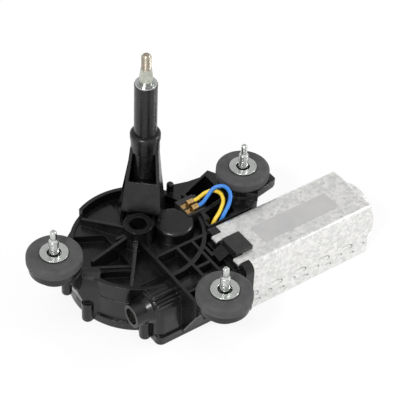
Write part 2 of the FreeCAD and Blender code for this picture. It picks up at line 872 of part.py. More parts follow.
def worm_tunnel():
    """Outer skin round the worm, its nose, its beads and the wall down to the foot."""
    x1 = flange_x0 + 1
    y0 = worm_y - tunnel_r
    barrel = rod_x(tunnel_r, tunnel_x0, x1)
    barrel = barrel.makeFillet(tunnel_round, [e for e in barrel.Edges if e.BoundBox.XMax < tunnel_x0 + tiny])
    room = corner_rounded(block(tunnel_x0, x1, y0, worm_y + tunnel_r, cover_t, worm_z + tunnel_r),
                          tunnel_x0, y0, tunnel_corner)
    wall = corner_rounded(block(tunnel_x0, x1, y0, worm_y + tunnel_back, cover_t, worm_z),
                          tunnel_x0, y0, tunnel_corner)
    inner = tunnel_x0 + merge
    nose = rod_x(nose_r, nose_x0, inner)
    root = turned_x([(nose_root_x, 0), (nose_root_x, nose_r + nose_step), (inner, nose_r + nose_flare),
                     (inner, 0)])
    return [barrel.common(room), wall, nose, root, foot_plate(cover_t, cover_t + flange_t)] + tunnel_beads()


def tunnel_beads():
    """Round-ended beads along the tunnel's upper front."""
    beads = []
    for angle in ridge_angles:
        spread = tunnel_r + ridge_r * 0.1
        y = worm_y - spread * math.sin(math.radians(angle))
        z = worm_z + spread * math.cos(math.radians(angle))
        beads.append(rod_x(ridge_r, ridge_x0, lattice_x[0], y, z))
        beads.append(Part.makeSphere(ridge_r, V(ridge_x0, y, z)))
    return beads


def hang_post():
    """Round-ended post below the left arm."""
    post = cyl(hang_post_r, hang_post_low_z, hang_post_high_z, *hang_post_place)
    return foot_rounded(post, hang_post_r / 2)


def housing_hollows():
    """Everything that is cut out of the housing."""
    hollows = [cavity()]
    hollows.append(rod_x(tunnel_bore_r, tunnel_x0 + tunnel_end_t, flange_x0))
    hollows.append(rod_x(nose_bore_r, nose_x0 - cut_over, tunnel_x0 + tunnel_end_t + cut_over))
    hollows.append(rod_x(front_bearing_r, flange_x0 - front_bearing_len, can_x0 + cut_over))
    hollows.append(cyl(boss_hole_r, boss_z - boss_hole_depth, boss_z + 1, wheel_x, wheel_y))
    room = cyl(cap_r - cap_wall, ceiling_z - 1, cap_z - cap_wall, pivot_x, pivot_y)
    hollows.append(room.cut(cyl(pivot_boss_r, ceiling_z, cap_z, pivot_x, pivot_y)))
    hollows.append(cyl(pivot_pin_r, ceiling_z - 1, cap_z - cap_wall, pivot_x, pivot_y))
    hollows.append(cyl(spindle_r + spindle_room, ceiling_z - 2 * floor_t, tower_z + cut_over))
    hollows.append(cyl(bush_r, tower_z - bush_upper_len, tower_z + cut_over))
    hollows.append(cyl(bush_r, ceiling_z - 2 * floor_t, ceiling_z + bush_lower_len))
    for place in screw_places():
        hollows.append(cyl(screw_r, cover_t - 1, cover_t + screw_len, place.x, place.y))
    for side, place in stud_places.items():
        hollows.append(eye_hollow(place, hollow_low_z[side]))
    hollows.append(block(holder_x0, holder_x1, holder_y0, holder_y1, holder_z0, holder_z + holder_room))
    hollows.append(block(tunnel_x0 + well_left, flange_x0 - well_right, worm_y - well_front,
                         worm_y + tunnel_back, 0, worm_z))
    return hollows


def gear_housing():
    parts = [drum_shell(), tower()]
    parts += drum_ribs()
    parts += worm_tunnel()
    parts += motor_flange()
    parts += front_arm()
    parts += left_arm()
    parts += right_arm()
    parts.append(hang_post())
    for side, place in stud_places.items():
        parts += eye(place, arm_angles[side])
    parts += screw_lugs(cover_t, cover_t + lug_h)
    parts += holder_seat()
    solid = parts[0].multiFuse(parts[1:])
    for hollow in housing_hollows():
        solid = solid.cut(hollow)
    return solid.removeSplitter()


def holder_seat():
    """Pad on the drum's rim that carries the terminal holder."""
    return [block(holder_x0 - seat_left, holder_x1 + seat_right, holder_y0 - seat_side, holder_y1 + seat_side,
                  ceiling_z, holder_z0)]


# Cover, seal and screws

def bottom_cover():
    plate = cyl(drum_r + flange_lip, 0, cover_t, wheel_x, wheel_y)
    foot = foot_plate(0, cover_t)
    seat = cyl(axle_seat_r, 0, axle_seat_z, wheel_x, wheel_y)
    solids = [plate, foot, seat] + [foot_rounded(lug, lug_round) for lug in screw_lugs(0, cover_t)]
    solid = fused(solids)
    for place in screw_places():
        solid = solid.cut(cyl(screw_r + loose_gap, -1, cover_t + 1, place.x, place.y))
        solid = solid.cut(cyl(screw_head_r + loose_gap, -1, screw_sink + screw_head_t, place.x, place.y))
    solid = solid.cut(cyl(axle_r, cover_t / 2, axle_seat_z + 1, wheel_x, wheel_y))
    x1 = flange_x0 - flange_rim_len - face_gap
    return solid.cut(block(x1, x1 + drum_r, can_y0, can_y1 + flange_margin + face_gap, -1, cover_t + 1))


def screw_lugs(z0, z1):
    """Screw bosses, each joined to the drum by a short web."""
    lugs = []
    for place in screw_places():
        inner = W + (place - W) * lug_web_share
        web = slab((place.x, place.y), (inner.x, inner.y), 2 * lug_r, z0, z1)
        lugs.append(fused([cyl(lug_r, z0, z1, place.x, place.y), web]))
    return lugs


def cover_seal():
    r = drum_r - drum_wall - 0.2
    return cyl(r, cover_t, cover_t + seal_t, wheel_x, wheel_y).cut(
        cyl(r - seal_w, cover_t - 1, cover_t + seal_t + 1, wheel_x, wheel_y))


def cover_screws():
    screws = []
    for place in screw_places():
        head = cyl(screw_head_r, screw_sink, screw_sink + screw_head_t, place.x, place.y)
        shank = cyl(screw_r, screw_sink + screw_head_t, cover_t + screw_len - 1, place.x, place.y)
        screws.append(head.fuse(shank).removeSplitter())
    return Part.makeCompound(screws)


# Mounts

def grommet(place):
    waist = eye_hole_r - face_gap
    under = eye_z - eye_t
    return turned([
        (sleeve_out_r, grommet_low_z), (grommet_low_r - 1, grommet_low_z), (grommet_low_r, grommet_low_z + 1),
        (grommet_low_r, under), (waist, under), (waist, eye_z), (grommet_r - 0.6, eye_z),
        (grommet_r, eye_z + 0.6),
        (grommet_r, grommet_top_z - 0.8), (grommet_r - 0.8, grommet_top_z), (sleeve_out_r, grommet_top_z),
    ], *place)


def mount_sleeve(place):
    low = grommet_low_z - face_gap
    return turned([
        (sleeve_in_r, low), (sleeve_out_r, low), (sleeve_out_r, grommet_top_z),
        (sleeve_flange_r, grommet_top_z), (sleeve_flange_r, mount_z), (sleeve_in_r, mount_z),
    ], *place)


def mount_stud(place):
    low = grommet_low_z - face_gap
    return turned([
        (0, low - stud_collar_t), (stud_collar_r, low - stud_collar_t), (stud_collar_r, low),
        (stud_shoulder_r, low), (stud_shoulder_r, stud_shoulder_z), (stud_relief_r, stud_shoulder_z + 1.3),
        (stud_relief_r, mount_z), (stud_r, mount_z + 0.3), (stud_r, stud_thread_z),
        (stud_pilot_r, stud_thread_z + 1.4), (stud_pilot_r, stud_tip_z - 0.8),
        (stud_pilot_r - 0.8, stud_tip_z), (0, stud_tip_z),
    ], *place)


# Spindle

def spindle():
    clip_z = tower_z + washer_t + clip_play
    tip_side_z = spindle_tip_z - thread_end_round
    return turned([
        (0, spindle_low_z), (spindle_r, spindle_low_z), (spindle_r, clip_z),
        (spindle_r - clip_groove, clip_z), (spindle_r - clip_groove, clip_z + clip_t),
        (spindle_r, clip_z + clip_t), (spindle_r, cone_low_z), (cone_base_r, cone_low_z),
        (thread_r + cone_step, cone_high_z), (thread_r, cone_high_z), (thread_r, tip_side_z),
        (thread_r - thread_chamfer, spindle_tip_z - thread_chamfer / 2),
        (thread_r - 2 * thread_chamfer, spindle_tip_z), (0, spindle_tip_z),
    ])


def spindle_pinion():
    half = math.pi * gear_module / 4 - tooth_backlash / 4
    outline = gear_outline(pinion_teeth, pinion_pitch_r, gear_module, half, 0.9, 1.15)
    gear = prism(outline, sector_z0, sector_z1)
    gear.rotate(V(0, 0, 0), Z_UP, to_pinion + 180 + 180.0 / pinion_teeth)
    return gear.cut(cyl(spindle_r, sector_z0 - 1, sector_z1 + 1))


def spindle_bush(z0, z1):
    return cyl(bush_r, z0, z1).cut(cyl(spindle_r + slip_gap, z0 - 1, z1 + 1))


def spindle_washer():
    return cyl(washer_r, tower_z, tower_z + washer_t).cut(cyl(spindle_r + slip_gap, tower_z - 1, tower_z + 2))


def spindle_circlip():
    z0 = tower_z + washer_t + clip_play
    ring = cyl(clip_r, z0, z0 + clip_t).cut(cyl(spindle_r - clip_groove, z0 - 1, z0 + clip_t + 1))
    mouth = block(0, clip_r + 1, -clip_mouth / 2, clip_mouth / 2, z0 - 1, z0 + clip_t + 1)
    mouth.rotate(V(0, 0, 0), Z_UP, to_wheel + 120)
    return ring.cut(mouth)


# Worm gear and linkage

def worm_wheel():
    half = worm_lead / 4 - tooth_backlash / 4
    outline = gear_outline(wheel_teeth, wheel_pitch_r, wheel_module, half, 0.9, 1.1)
    gear = prism(outline, wheel_z0, wheel_z1)
    gear.rotate(V(0, 0, 0), Z_UP, -90.0)
    gear.translate(W)
    hub = cyl(wheel_hub_r, wheel_z1 - wheel_hub_len, wheel_z1, wheel_x, wheel_y)
    web_ring = cyl(wheel_pitch_r - wheel_rim_w, wheel_z0 - 1, wheel_z1 - wheel_web_t, wheel_x, wheel_y)
    web_ring = web_ring.cut(cyl(wheel_hub_r + 4, wheel_z0 - 2, wheel_z1, wheel_x, wheel_y))
    solid = gear.cut(web_ring).fuse(hub)
    solid = solid.cut(cyl(axle_r + slip_gap, 0, rim_low_z, wheel_x, wheel_y))
    solid = solid.cut(cyl(crank_pin_r, 0, rim_low_z, crank_place().x, crank_place().y))
    return solid.removeSplitter()


def lever_pin():
    """Pin of the sector's lever at rest, where the crank points straight at it."""
    return V(pivot_x, pivot_y, 0) + polar(lever_r, lever_angle + swing_sector / 2)


def crank_place():
    return W + (lever_pin() - W).normalize() * crank_r


def park_contact_ring():
    z1 = wheel_z0
    ring = cyl(ring_out_r, z1 - ring_t, z1, wheel_x, wheel_y)
    ring = ring.cut(cyl(ring_in_r, z1 - cut_over, z1 + cut_over, wheel_x, wheel_y))
    notch = wedge(notch_from, notch_to, (ring_out_r + ring_in_r) / 2, z1 - cut_over, z1 + cut_over)
    return ring.cut(notch)


def wheel_axle():
    return cyl(axle_r, cover_t / 2, wheel_z1 - 0.4, wheel_x, wheel_y)


def crank_pin():
    p = crank_place()
    return cyl(crank_pin_r, wheel_z1 - wheel_web_t, rod_z1, p.x, p.y)


def connecting_rod():
    a = crank_place()
    b = lever_pin()
    body = slab((a.x, a.y), (b.x, b.y), rod_w, rod_z0, rod_z1)
    solid = fused([body, cyl(rod_eye_r, rod_z0, rod_z1, a.x, a.y), cyl(rod_eye_r, rod_z0, rod_z1, b.x, b.y)])
    solid = solid.cut(cyl(crank_pin_r + slip_gap, rod_z0 - 1, rod_z1 + 1, a.x, a.y))
    return solid.cut(cyl(crank_pin_r, rod_z0 - 1, rod_z1 + 1, b.x, b.y))


def rod_pin():
    b = lever_pin()
    return cyl(crank_pin_r, rod_z0, sector_z0 - stack_gap / 2, b.x, b.y)


def sector_gear():
    half = math.pi * gear_module / 4 - tooth_backlash / 4
    outline = gear_outline(sector_teeth, sector_pitch_r, gear_module, half, 0.9, 1.15)
    full = prism(outline, sector_z0, sector_z1)
    full.rotate(V(0, 0, 0), Z_UP, to_pinion)
    full.translate(V(pivot_x, pivot_y, 0))
    centre = to_pinion + swing_sector / 2
    reach = 2 * sector_pitch_r
    corners = [V(0, 0, 0)]
    corners += [polar(reach, centre + sector_span * s / 4) for s in (-2, -1, 0, 1, 2)]
    pie = prism([(pivot_x + c.x, pivot_y + c.y) for c in corners], sector_z0, sector_z1)
    toothed = full.common(pie)
    hub = cyl(sector_hub_r, sector_z0, sector_z1, pivot_x, pivot_y)
    tip = lever_pin()
    arm = slab((pivot_x, pivot_y), (tip.x, tip.y), lever_w, sector_z0, sector_z1)
    eye_end = cyl(lever_eye_r, sector_z0, sector_z1, tip.x, tip.y)
    solid = fused([toothed, hub, arm, eye_end])
    solid = solid.cut(cyl(pivot_pin_r + slip_gap, sector_z0 - 1, sector_z1 + 1, pivot_x, pivot_y))
    counterbore = sector_z0 + face_gap / 2 + pivot_head_t + slip_gap
    solid = solid.cut(cyl(pivot_head_r + face_gap, sector_z0 - 1, counterbore, pivot_x, pivot_y))
    return solid.cut(cyl(crank_pin_r + slip_gap, sector_z0 - 1, sector_z1 + 1, tip.x, tip.y))


def sector_pivot():
    """Pin pressed into the cap, with its head let into the sector from below."""
    low = sector_z0 + face_gap / 2
    return fused([
        cyl(pivot_pin_r, low, cap_z - cap_wall, pivot_x, pivot_y),
        cyl(pivot_head_r, low, low + pivot_head_t, pivot_x, pivot_y),
    ])


# Motor

def armature_shaft():
    x0 = nose_root_x + shaft_play
    x1 = can_x1 + shaft_past_can
    c = shaft_chamfer
    return turned_x([(x0, 0), (x0, shaft_r - c), (x0 + c, shaft_r), (x1 - c, shaft_r), (x1, shaft_r - c), (x1, 0)])


def worm():
    """Thread of the worm: one start, as long as the wheel needs."""
    root_r = worm_pitch_r - 1.2 * wheel_module
    body = rod_x(root_r, wheel_x - worm_len / 2, wheel_x + worm_len / 2)
    helix = Part.makeLongHelix(worm_lead, worm_len + 2 * worm_lead, root_r)
    half_root = worm_lead / 4 + worm_root_grow - tooth_backlash / 4
    half_tip = worm_lead / 4 - worm_tip_narrow - tooth_backlash / 4
    tip_r = worm_pitch_r + 0.9 * wheel_module
    outline = [
        V(root_r - worm_thread_sink, 0, -half_root), V(tip_r, 0, -half_tip), V(tip_r, 0, half_tip),
        V(root_r - worm_thread_sink, 0, half_root),
    ]
    profile = Part.makePolygon(outline + [outline[0]])
    thread = Part.Wire(helix.Edges).makePipeShell([profile], True, True)
    thread.translate(V(0, 0, -(worm_len / 2 + worm_lead)))
    thread.rotate(V(0, 0, 0), Y_ALONG, 90)
    thread.rotate(V(0, 0, 0), X_ALONG, -360.0 * (worm_len / 2 / worm_lead + 0.25))
    thread.translate(V(wheel_x, worm_y, worm_z))
    trimmed = thread.common(rod_x(tip_r + 1, wheel_x - worm_len / 2, wheel_x + worm_len / 2))
    solid = body.fuse(trimmed)
    return solid.cut(rod_x(shaft_r, wheel_x - worm_len, wheel_x + worm_len))


def armature_core():
    x1 = core_x0 + core_len
    core = rod_x(core_out_r, core_x0, x1)
    for i in range(slot_count):
        slot = block(core_x0 - 1, x1 + 1, worm_y - slot_w / 2, worm_y + slot_w / 2,
                     worm_z + core_out_r - slot_depth, worm_z + core_out_r - slot_lip)
        mouth = block(core_x0 - 1, x1 + 1, worm_y - slot_mouth / 2, worm_y + slot_mouth / 2,
                      worm_z + core_out_r - slot_lip - merge, worm_z + core_out_r + cut_over)
        cutter = slot.fuse(mouth)
        cutter.rotate(V(0, worm_y, worm_z), X_ALONG, 360.0 * i / slot_count)
        core = core.cut(cutter)
    return core.cut(rod_x(shaft_r, core_x0 - 1, x1 + 1))


def armature_windings():
    x1 = core_x0 + core_len
    parts = []
    for a, b in ((core_x0 - winding_len, core_x0), (x1, x1 + winding_len)):
        c = coil_round
        parts.append(turned_x([
            (a, shaft_r + 1), (a, winding_r - c), (a + c, winding_r), (b - c, winding_r), (b, winding_r - c),
            (b, shaft_r + 1),
        ]))
    for i in range(slot_count):
        half = slot_w / 2 - slot_lining
        bar = block(core_x0 - merge, x1 + merge, worm_y - half, worm_y + half,
                    worm_z + core_out_r - slot_depth + slot_lining, worm_z + core_out_r - slot_lip - slot_lining)
        bar.rotate(V(0, worm_y, worm_z), X_ALONG, 360.0 * i / slot_count)
        parts.append(bar)
    return fused(parts)


def commutator():
    x1 = comm_x0 + comm_len
    ring = tube_x(comm_r, shaft_r, comm_x0, x1)
    for i in range(slot_count):
        cut = block(comm_x0 - 1, x1 + 1, worm_y - comm_slit_w / 2, worm_y + comm_slit_w / 2,
                    worm_z + comm_r - comm_slit_depth, worm_z + comm_r + cut_over)
        cut.rotate(V(0, worm_y, worm_z), X_ALONG, 360.0 * (i + 0.5) / slot_count)
        ring = ring.cut(cut)
    return ring


def front_bearing():
    return tube_x(front_bearing_r, shaft_r + slip_gap, flange_x0 - front_bearing_len, flange_x0)


def end_bush():
    x0 = nose_root_x + end_bush_gap
    return tube_x(nose_bore_r, shaft_r + slip_gap, x0, x0 + end_bush_len)


def thrust_plug():
    return rod_x(nose_bore_r, nose_root_x - plug_len, nose_root_x)


def magnet(side):
    r0 = core_out_r + air_gap
    x0 = core_x0 + core_len / 2 - magnet_len / 2
    ring = tube_x(r0 + magnet_t, r0, x0, x0 + magnet_len)
    a = math.radians(magnet_half_angle)
    far = 2 * can_h
    pie = Part.Face(Part.makePolygon([
        V(x0 - 1, worm_y, worm_z), V(x0 - 1, worm_y + far * math.sin(a), worm_z + far * math.cos(a) * side),
        V(x0 - 1, worm_y - far * math.sin(a), worm_z + far * math.cos(a) * side), V(x0 - 1, worm_y, worm_z),
    ])).extrude(V(magnet_len + 2, 0, 0))
    return ring.common(pie)


def yoke():
    """Drawn can: rounded square shell, round bearing boss and two folded ears."""
    outer = rounded_bar_x(can_x0, can_x1, can_y0, can_y1, can_z0, can_z1, can_round)
    end_edges = [e for e in outer.Edges if e.BoundBox.XMin > can_x1 - tiny]
    outer = outer.makeFillet(can_round * 0.9, end_edges)
    boss = rod_x(can_boss_r, can_x1 - 1, can_x1 + can_boss_len)
    rim = [e for e in boss.Edges if e.BoundBox.XMin > can_x1 + can_boss_len - tiny]
    boss = boss.makeFillet(can_boss_len * 0.45, rim)
    solid = outer.fuse(boss)
    t = can_wall
    inner = rounded_bar_x(can_x0 - 1, can_x1 - t, can_y0 + t, can_y1 - t, can_z0 + t, can_z1 - t,
                          can_round - t / 2)
    solid = solid.cut(inner)
    solid = solid.cut(rod_x(rear_bush_r, can_x1 - t - 1, can_x1 + can_boss_len - t))
    parts = [solid]
    for y0 in ear_places():
        top = block(can_x0 - ear_len, can_x0 + 1, y0, y0 + ear_w, can_z1 - ear_t, can_z1)
        end = [e for e in top.Edges if e.BoundBox.XMax < can_x0 - ear_len + tiny]
        parts.append(top.makeFillet(ear_t * 0.9, [e for e in end if e.BoundBox.ZMin > can_z1 - tiny]))
    return fused(parts)


def ear_places():
    """Near edge of each ear along Y."""
    return (block_y1 + ear_back_gap, block_y0 - ear_w - ear_front_gap)


def ear_slots():
    """Notches that the can's ears fold into."""
    cuts = []
    for y0 in ear_places():
        cuts.append(block(can_x0 - ear_len - ear_end_gap, can_x0 + 1, y0 - face_gap, y0 + ear_w + face_gap,
                          can_z1 - ear_t - ear_under_gap, can_z1 + can_wall + block_z - can_z1))
    return cuts


def yoke_bush():
    return tube_x(rear_bush_r, shaft_r + slip_gap, can_x1 + can_boss_len - can_wall - rear_bush_len,
                  can_x1 + can_boss_len - can_wall)


def brush_plate():
    """Plate inside the can's near end, with brush guides and the key block on top of the can."""
    t = can_wall + plate_gap
    plate = rounded_bar_x(can_x0 + plate_gap, plate_x1, can_y0 + t, can_y1 - t, can_z0 + t, can_z1 - t,
                          can_round - t / 2)
    plate = plate.cut(rod_x(comm_r + plate_hole_gap, can_x0 - 1, plate_x1 + 1))
    guides = []
    for side in (-1, 1):
        y_in = worm_y + side * (comm_r + guide_clear)
        y_out = worm_y + side * (can_w / 2 - t)
        lo, hi = min(y_in, y_out), max(y_in, y_out)
        high = brush_t / 2 + guide_wall
        room = brush_t / 2 + guide_gap
        x0 = comm_x0 + brush_inset
        guide = block(plate_x1 - merge, x0 + brush_w + guide_end, lo, hi, worm_z - high, worm_z + high)
        hole = block(x0 - guide_gap, x0 + brush_w + guide_gap, lo - cut_over, hi + cut_over,
                     worm_z - room, worm_z + room)
        guides.append(guide.cut(hole))
    return fused([plate] + guides)


def key_block():
    return block(flange_x0 + key_inset, block_x1, block_y0, block_y1, can_z1 + key_gap, block_z)


def brushes():
    out = []
    for side in (-1, 1):
        y_in = worm_y + side * (comm_r + brush_gap)
        y_out = y_in + side * brush_len
        x0 = comm_x0 + brush_inset
        out.append(block(x0, x0 + brush_w, min(y_in, y_out), max(y_in, y_out), worm_z - brush_t / 2,
                         worm_z + brush_t / 2))
    return Part.makeCompound(out)


def brush_springs():
    out = []
    for side in (-1, 1):
        y0 = worm_y + side * (comm_r + brush_gap + brush_len)
        place = V(comm_x0 + brush_inset + brush_w / 2, y0, worm_z)
        out.append(Part.makeCylinder(spring_r, spring_len, place, V(0, side, 0)))
    return Part.makeCompound(out)


# Contacts under the wheel

def contact_board():
    x0 = wheel_x + board_near
    x1 = wheel_x + board_far
    return prism([(x0, wheel_y - board_long), (x1, wheel_y - board_short), (x1, wheel_y + board_long),
                  (x0, wheel_y + board_short)], cover_t, cover_t + board_t)


def contact_springs():
    """Three bent strips that rub on the parking ring."""
    out = []
    low = cover_t + board_t
    high = wheel_z0 - ring_t - rub_gap
    for inset in spring_insets:
        x = wheel_x + ring_in_r + inset
        foot = wheel_y - strip_foot
        tip = wheel_y + strip_tip
        under = (wheel_y - strip_bend, wheel_y + strip_rise)
        strip = [
            V(x, foot, low), V(x, under[0], low), V(x, under[1], high - spring_t), V(x, tip, high - spring_t),
            V(x, tip, high), V(x, under[1] - strip_lap, high), V(x, under[0] - strip_lap, low + spring_t),
            V(x, foot, low + spring_t),
        ]
        out.append(Part.Face(Part.makePolygon(strip + [strip[0]])).extrude(V(strip_w, 0, 0)))
    return Part.makeCompound(out)


# Terminals and leads

def terminal_holder():
    """Holder with a groove for each terminal and a higher wall on both sides."""
    body = block(holder_x0, holder_x1, holder_y0, holder_y1, holder_z0, holder_wall_z)
    for y in (terminal_yellow_y, terminal_blue_y):
        half = terminal_w / 2 + terminal_gap
        groove = block(holder_x0 - 1, holder_x1 + 1, y - half, y + half, holder_z - terminal_groove, holder_z + 1)
        body = body.cut(groove)
    return body


def terminal(y):
    """Brass tongue with a barrel crimped on the lead."""
    z0 = holder_z - terminal_groove
    tongue = block(barrel_x1 - terminal_len, barrel_x1 - barrel_len + merge, y - terminal_w / 2,
                   y + terminal_w / 2, z0, z0 + terminal_t)
    barrel = Part.makeCylinder(barrel_r, barrel_len, V(barrel_x1 - barrel_len, y, z0 + barrel_r), X_ALONG)
    solid = fused([tongue, barrel])
    bore = Part.makeCylinder(lead_r, barrel_len, V(barrel_x1 - lead_grip, y, z0 + barrel_r), X_ALONG)
    return solid.cut(bore)


barrel_x1 = holder_x0 + barrel_end
lead_z = holder_z - terminal_groove + barrel_r
yellow_route = [
    V(barrel_x1 - lead_grip, terminal_yellow_y, lead_z),
    V(27.6, terminal_yellow_y, lead_z),
    V(32.2, -17.8, 45.6),
    V(37.4, -19.6, 47.6),
    V(40.2, -24.4, 47.8),
    V(38.6, -30.6, 47.0),
    V(33.0, -35.0, 44.4),
    V(27.4, -36.4, 40.0),
    V(24.4, -37.0, 33.4),
]
blue_route = [
    V(barrel_x1 - lead_grip, terminal_blue_y, lead_z),
    V(27.6, terminal_blue_y, lead_z),
    V(32.6, -21.6, 46.6),
    V(37.8, -20.8, 50.8),
    V(43.2, -24.4, 52.2),
    V(43.4, -31.0, 51.0),
    V(39.2, -35.6, 48.0),
    V(33.6, -37.8, 43.2),
    V(29.6, -38.2, 36.0),
]


def lead_path(points):
    """Straight runs joined by tangent arcs, with the radii."""
    edges = []
    radii = []
    start = points[0]
    for i in range(1, len(points) - 1):
        before = points[i - 1] - points[i]
        after = points[i + 1] - points[i]
        half_turn = (math.pi - before.getAngle(after)) / 2
        shorter = min(before.Length, after.Length)
        cut = 0.45 * shorter
        radius = cut / math.tan(half_turn)
        a = points[i] + V(before).normalize() * cut
        b = points[i] + V(after).normalize() * cut
        bisector = (V(before).normalize() + V(after).normalize()).normalize()
        centre = points[i] + bisector * (radius / math.cos(half_turn))
        mid = centre - bisector * radius
        edges.append(Part.LineSegment(start, a).toShape())
        edges.append(Part.Arc(a, mid, b).toShape())
        radii.append(radius)
        start = b
    edges.append(Part.LineSegment(start, points[-1]).toShape())
    return Part.Wire(edges), radii


def lead(name, points):
    path, radii = lead_path(points)
    direction = (points[1] - points[0]).normalize()
    section = Part.Wire(Part.makeCircle(lead_r, points[0], direction))
    solid = path.makePipeShell([section], True, False)
    expected = math.pi * lead_r ** 2 * path.Length
    print(name, "length", round(path.Length, 2), "volume ratio", round(solid.Volume / expected, 4),
          "radii", [round(r, 1) for r in radii])
    return solid


def housing_parts():
    """The moulding in six regions, divided by planes and round the drum's own wall."""
    whole = gear_housing()
    for cut in ear_slots():
        whole = whole.cut(cut)
    whole = whole.removeSplitter()
    far = 200.0
    regions = {
        "housing_tower": block(-far, far, -far, far, split_tower_z, far),
        "arm_right": block(split_right_x, far, can_y1, far, 0, split_tower_z),
        "arm_front": block(-far, split_right_x, -far, split_front_y, 0, split_tower_z),
        "arm_left": block(-far, split_left_x, split_front_y, far, split_left_z, split_tower_z),
        "drum_top": cyl(drum_r + drum_wall, split_drum_z, split_tower_z, wheel_x, wheel_y),
    }
    parts = {}
    for name, region in regions.items():
        parts[name] = whole.common(region).removeSplitter()
        whole = whole.cut(region).removeSplitter()
    parts["gear_housing"] = whole
    return parts


def build():
    """All sub-parts by name."""
    shapes = housing_parts()
    shapes.update({
        "bottom_cover": bottom_cover(),
        "cover_seal": cover_seal(),
        "cover_screws": cover_screws(),
        "spindle": spindle(),
        "spindle_pinion": spindle_pinion(),
        "spindle_bush_upper": spindle_bush(tower_z - bush_upper_len, tower_z),
        "spindle_bush_lower": spindle_bush(ceiling_z + 0.5, ceiling_z + bush_lower_len),
        "spindle_washer": spindle_washer(),
        "spindle_circlip": spindle_circlip(),
        "worm_wheel": worm_wheel(),
        "park_contact_ring": park_contact_ring(),
        "wheel_axle": wheel_axle(),
        "crank_pin": crank_pin(),
        "connecting_rod": connecting_rod(),
        "rod_pin": rod_pin(),
        "sector_gear": sector_gear(),
        "sector_pivot": sector_pivot(),
        "armature_shaft": armature_shaft(),
        "worm": worm(),
        "armature_core": armature_core(),
        "armature_windings": armature_windings(),
        "commutator": commutator(),
        "front_bearing": front_bearing(),
        "end_bush": end_bush(),
        "thrust_plug": thrust_plug(),
        "magnet_upper": magnet(1),
        "magnet_lower": magnet(-1),
        "yoke": yoke(),
        "yoke_bush": yoke_bush(),
        "brush_plate": brush_plate(),
        "key_block": key_block(),
        "brushes": brushes(),
        "brush_springs": brush_springs(),
        "contact_board": contact_board(),
        "contact_springs": contact_springs(),
        "terminal_holder": terminal_holder(),
        "terminal_yellow": terminal(terminal_yellow_y),
        "terminal_blue": terminal(terminal_blue_y),
        "lead_yellow": lead("lead_yellow", yellow_route),
        "lead_blue": lead("lead_blue", blue_route),
    })
    for side, place in stud_places.items():
        shapes["grommet_" + side] = grommet(place)
        shapes["mount_sleeve_" + side] = mount_sleeve(place)
        shapes["mount_stud_" + side] = mount_stud(place)
    return shapes


os.makedirs("parts", exist_ok=True)
for node, shape in build().items():
    if not shape.isValid() or shape.Volume <= 0:
        print("check", node, shape.isValid(), shape.Volume, len(shape.Solids))
    if len(shape.Solids) != 1:
        print("solids", node, len(shape.Solids))
    shape.exportStep("parts/" + node + ".step")
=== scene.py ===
"""Looks of a rear wiper motor.

It has a black nylon gear housing, a bare steel motor can, rubber mounts and a steel spindle.
"""

import logging
import math
from dataclasses import dataclass, field
from enum import Enum

import bmesh
import bpy
from mathutils import Matrix, Vector

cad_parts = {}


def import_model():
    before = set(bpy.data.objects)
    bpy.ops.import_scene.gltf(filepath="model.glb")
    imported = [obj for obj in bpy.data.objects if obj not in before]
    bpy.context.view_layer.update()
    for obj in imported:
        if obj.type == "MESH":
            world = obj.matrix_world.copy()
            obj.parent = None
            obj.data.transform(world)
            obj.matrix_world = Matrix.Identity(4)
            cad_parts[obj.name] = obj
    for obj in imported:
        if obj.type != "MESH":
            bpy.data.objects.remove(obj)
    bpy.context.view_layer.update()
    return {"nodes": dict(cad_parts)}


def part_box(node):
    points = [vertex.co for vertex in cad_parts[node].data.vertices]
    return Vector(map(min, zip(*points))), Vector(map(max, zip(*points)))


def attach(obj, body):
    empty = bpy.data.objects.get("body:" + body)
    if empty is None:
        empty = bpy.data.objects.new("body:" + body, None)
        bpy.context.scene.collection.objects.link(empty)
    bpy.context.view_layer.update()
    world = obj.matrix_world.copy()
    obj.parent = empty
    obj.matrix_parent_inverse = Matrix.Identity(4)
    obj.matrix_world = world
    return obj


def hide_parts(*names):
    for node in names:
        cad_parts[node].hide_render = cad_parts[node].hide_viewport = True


Tree = bpy.types.NodeTree
Socket = bpy.types.NodeSocket
BMesh = bmesh.types.BMesh
Plan = tuple[float, float]
Corner = tuple[float, float, float]

MM = 0.001
X, Y, Z = 0, 1, 2
UPRIGHT = (0, 0, 1)
SPINDLE_AXIS: Plan = (0, 0)

# Points nearer than this are one point, in millimetres: in made shapes, in nodes and on a cut.
WELD = 0.004
NODE_WELD = 0.002
CUT_NEAR = 0.0001

# A rounding takes at most this share of each side beside its corner.
SIDE_SHARE = 0.49

# Stretches of a noise, from 0 to 1, over which a colour or a gloss goes from one end to the other.
CLOUD_SPAN = (0.34, 0.68)
CRYSTAL_SPAN = (0.25, 0.7)
PATCH_SPAN = (0.3, 0.7)
SCUFF_SPAN = (0.63, 0.67)

log = logging.getLogger("wiper_motor")


def linear(value: str) -> tuple[float, float, float, float]:
    """Turns an sRGB hex colour into a linear one.

    Args:
        value: Six hex digits after a hash.

    Returns:
        Red, green, blue and alpha.
    """
    parts = [int(value[i:i + 2], 16) / 255 for i in (1, 3, 5)]
    low = [p / 12.92 if p <= 0.04045 else ((p + 0.055) / 1.055) ** 2.4 for p in parts]
    return (*low, 1.0)


def add_node(tree: Tree, kind: str, settings: dict | None = None,
             links: dict | None = None) -> bpy.types.Node:
    """Adds one shader node.

    Args:
        tree: The material's node tree.
        kind: Blender's name of the node type.
        settings: Properties by lower-case name, and socket values by socket name or index.
        links: The output that feeds each socket, by socket name or index.

    Returns:
        The new node.
    """
    node = tree.nodes.new(kind)
    for name, value in (settings or {}).items():
        if isinstance(name, str) and name[0].islower():
            setattr(node, name, value)
        else:
            node.inputs[name].default_value = value
    for name, source in (links or {}).items():
        tree.links.new(source, node.inputs[name])
    return node


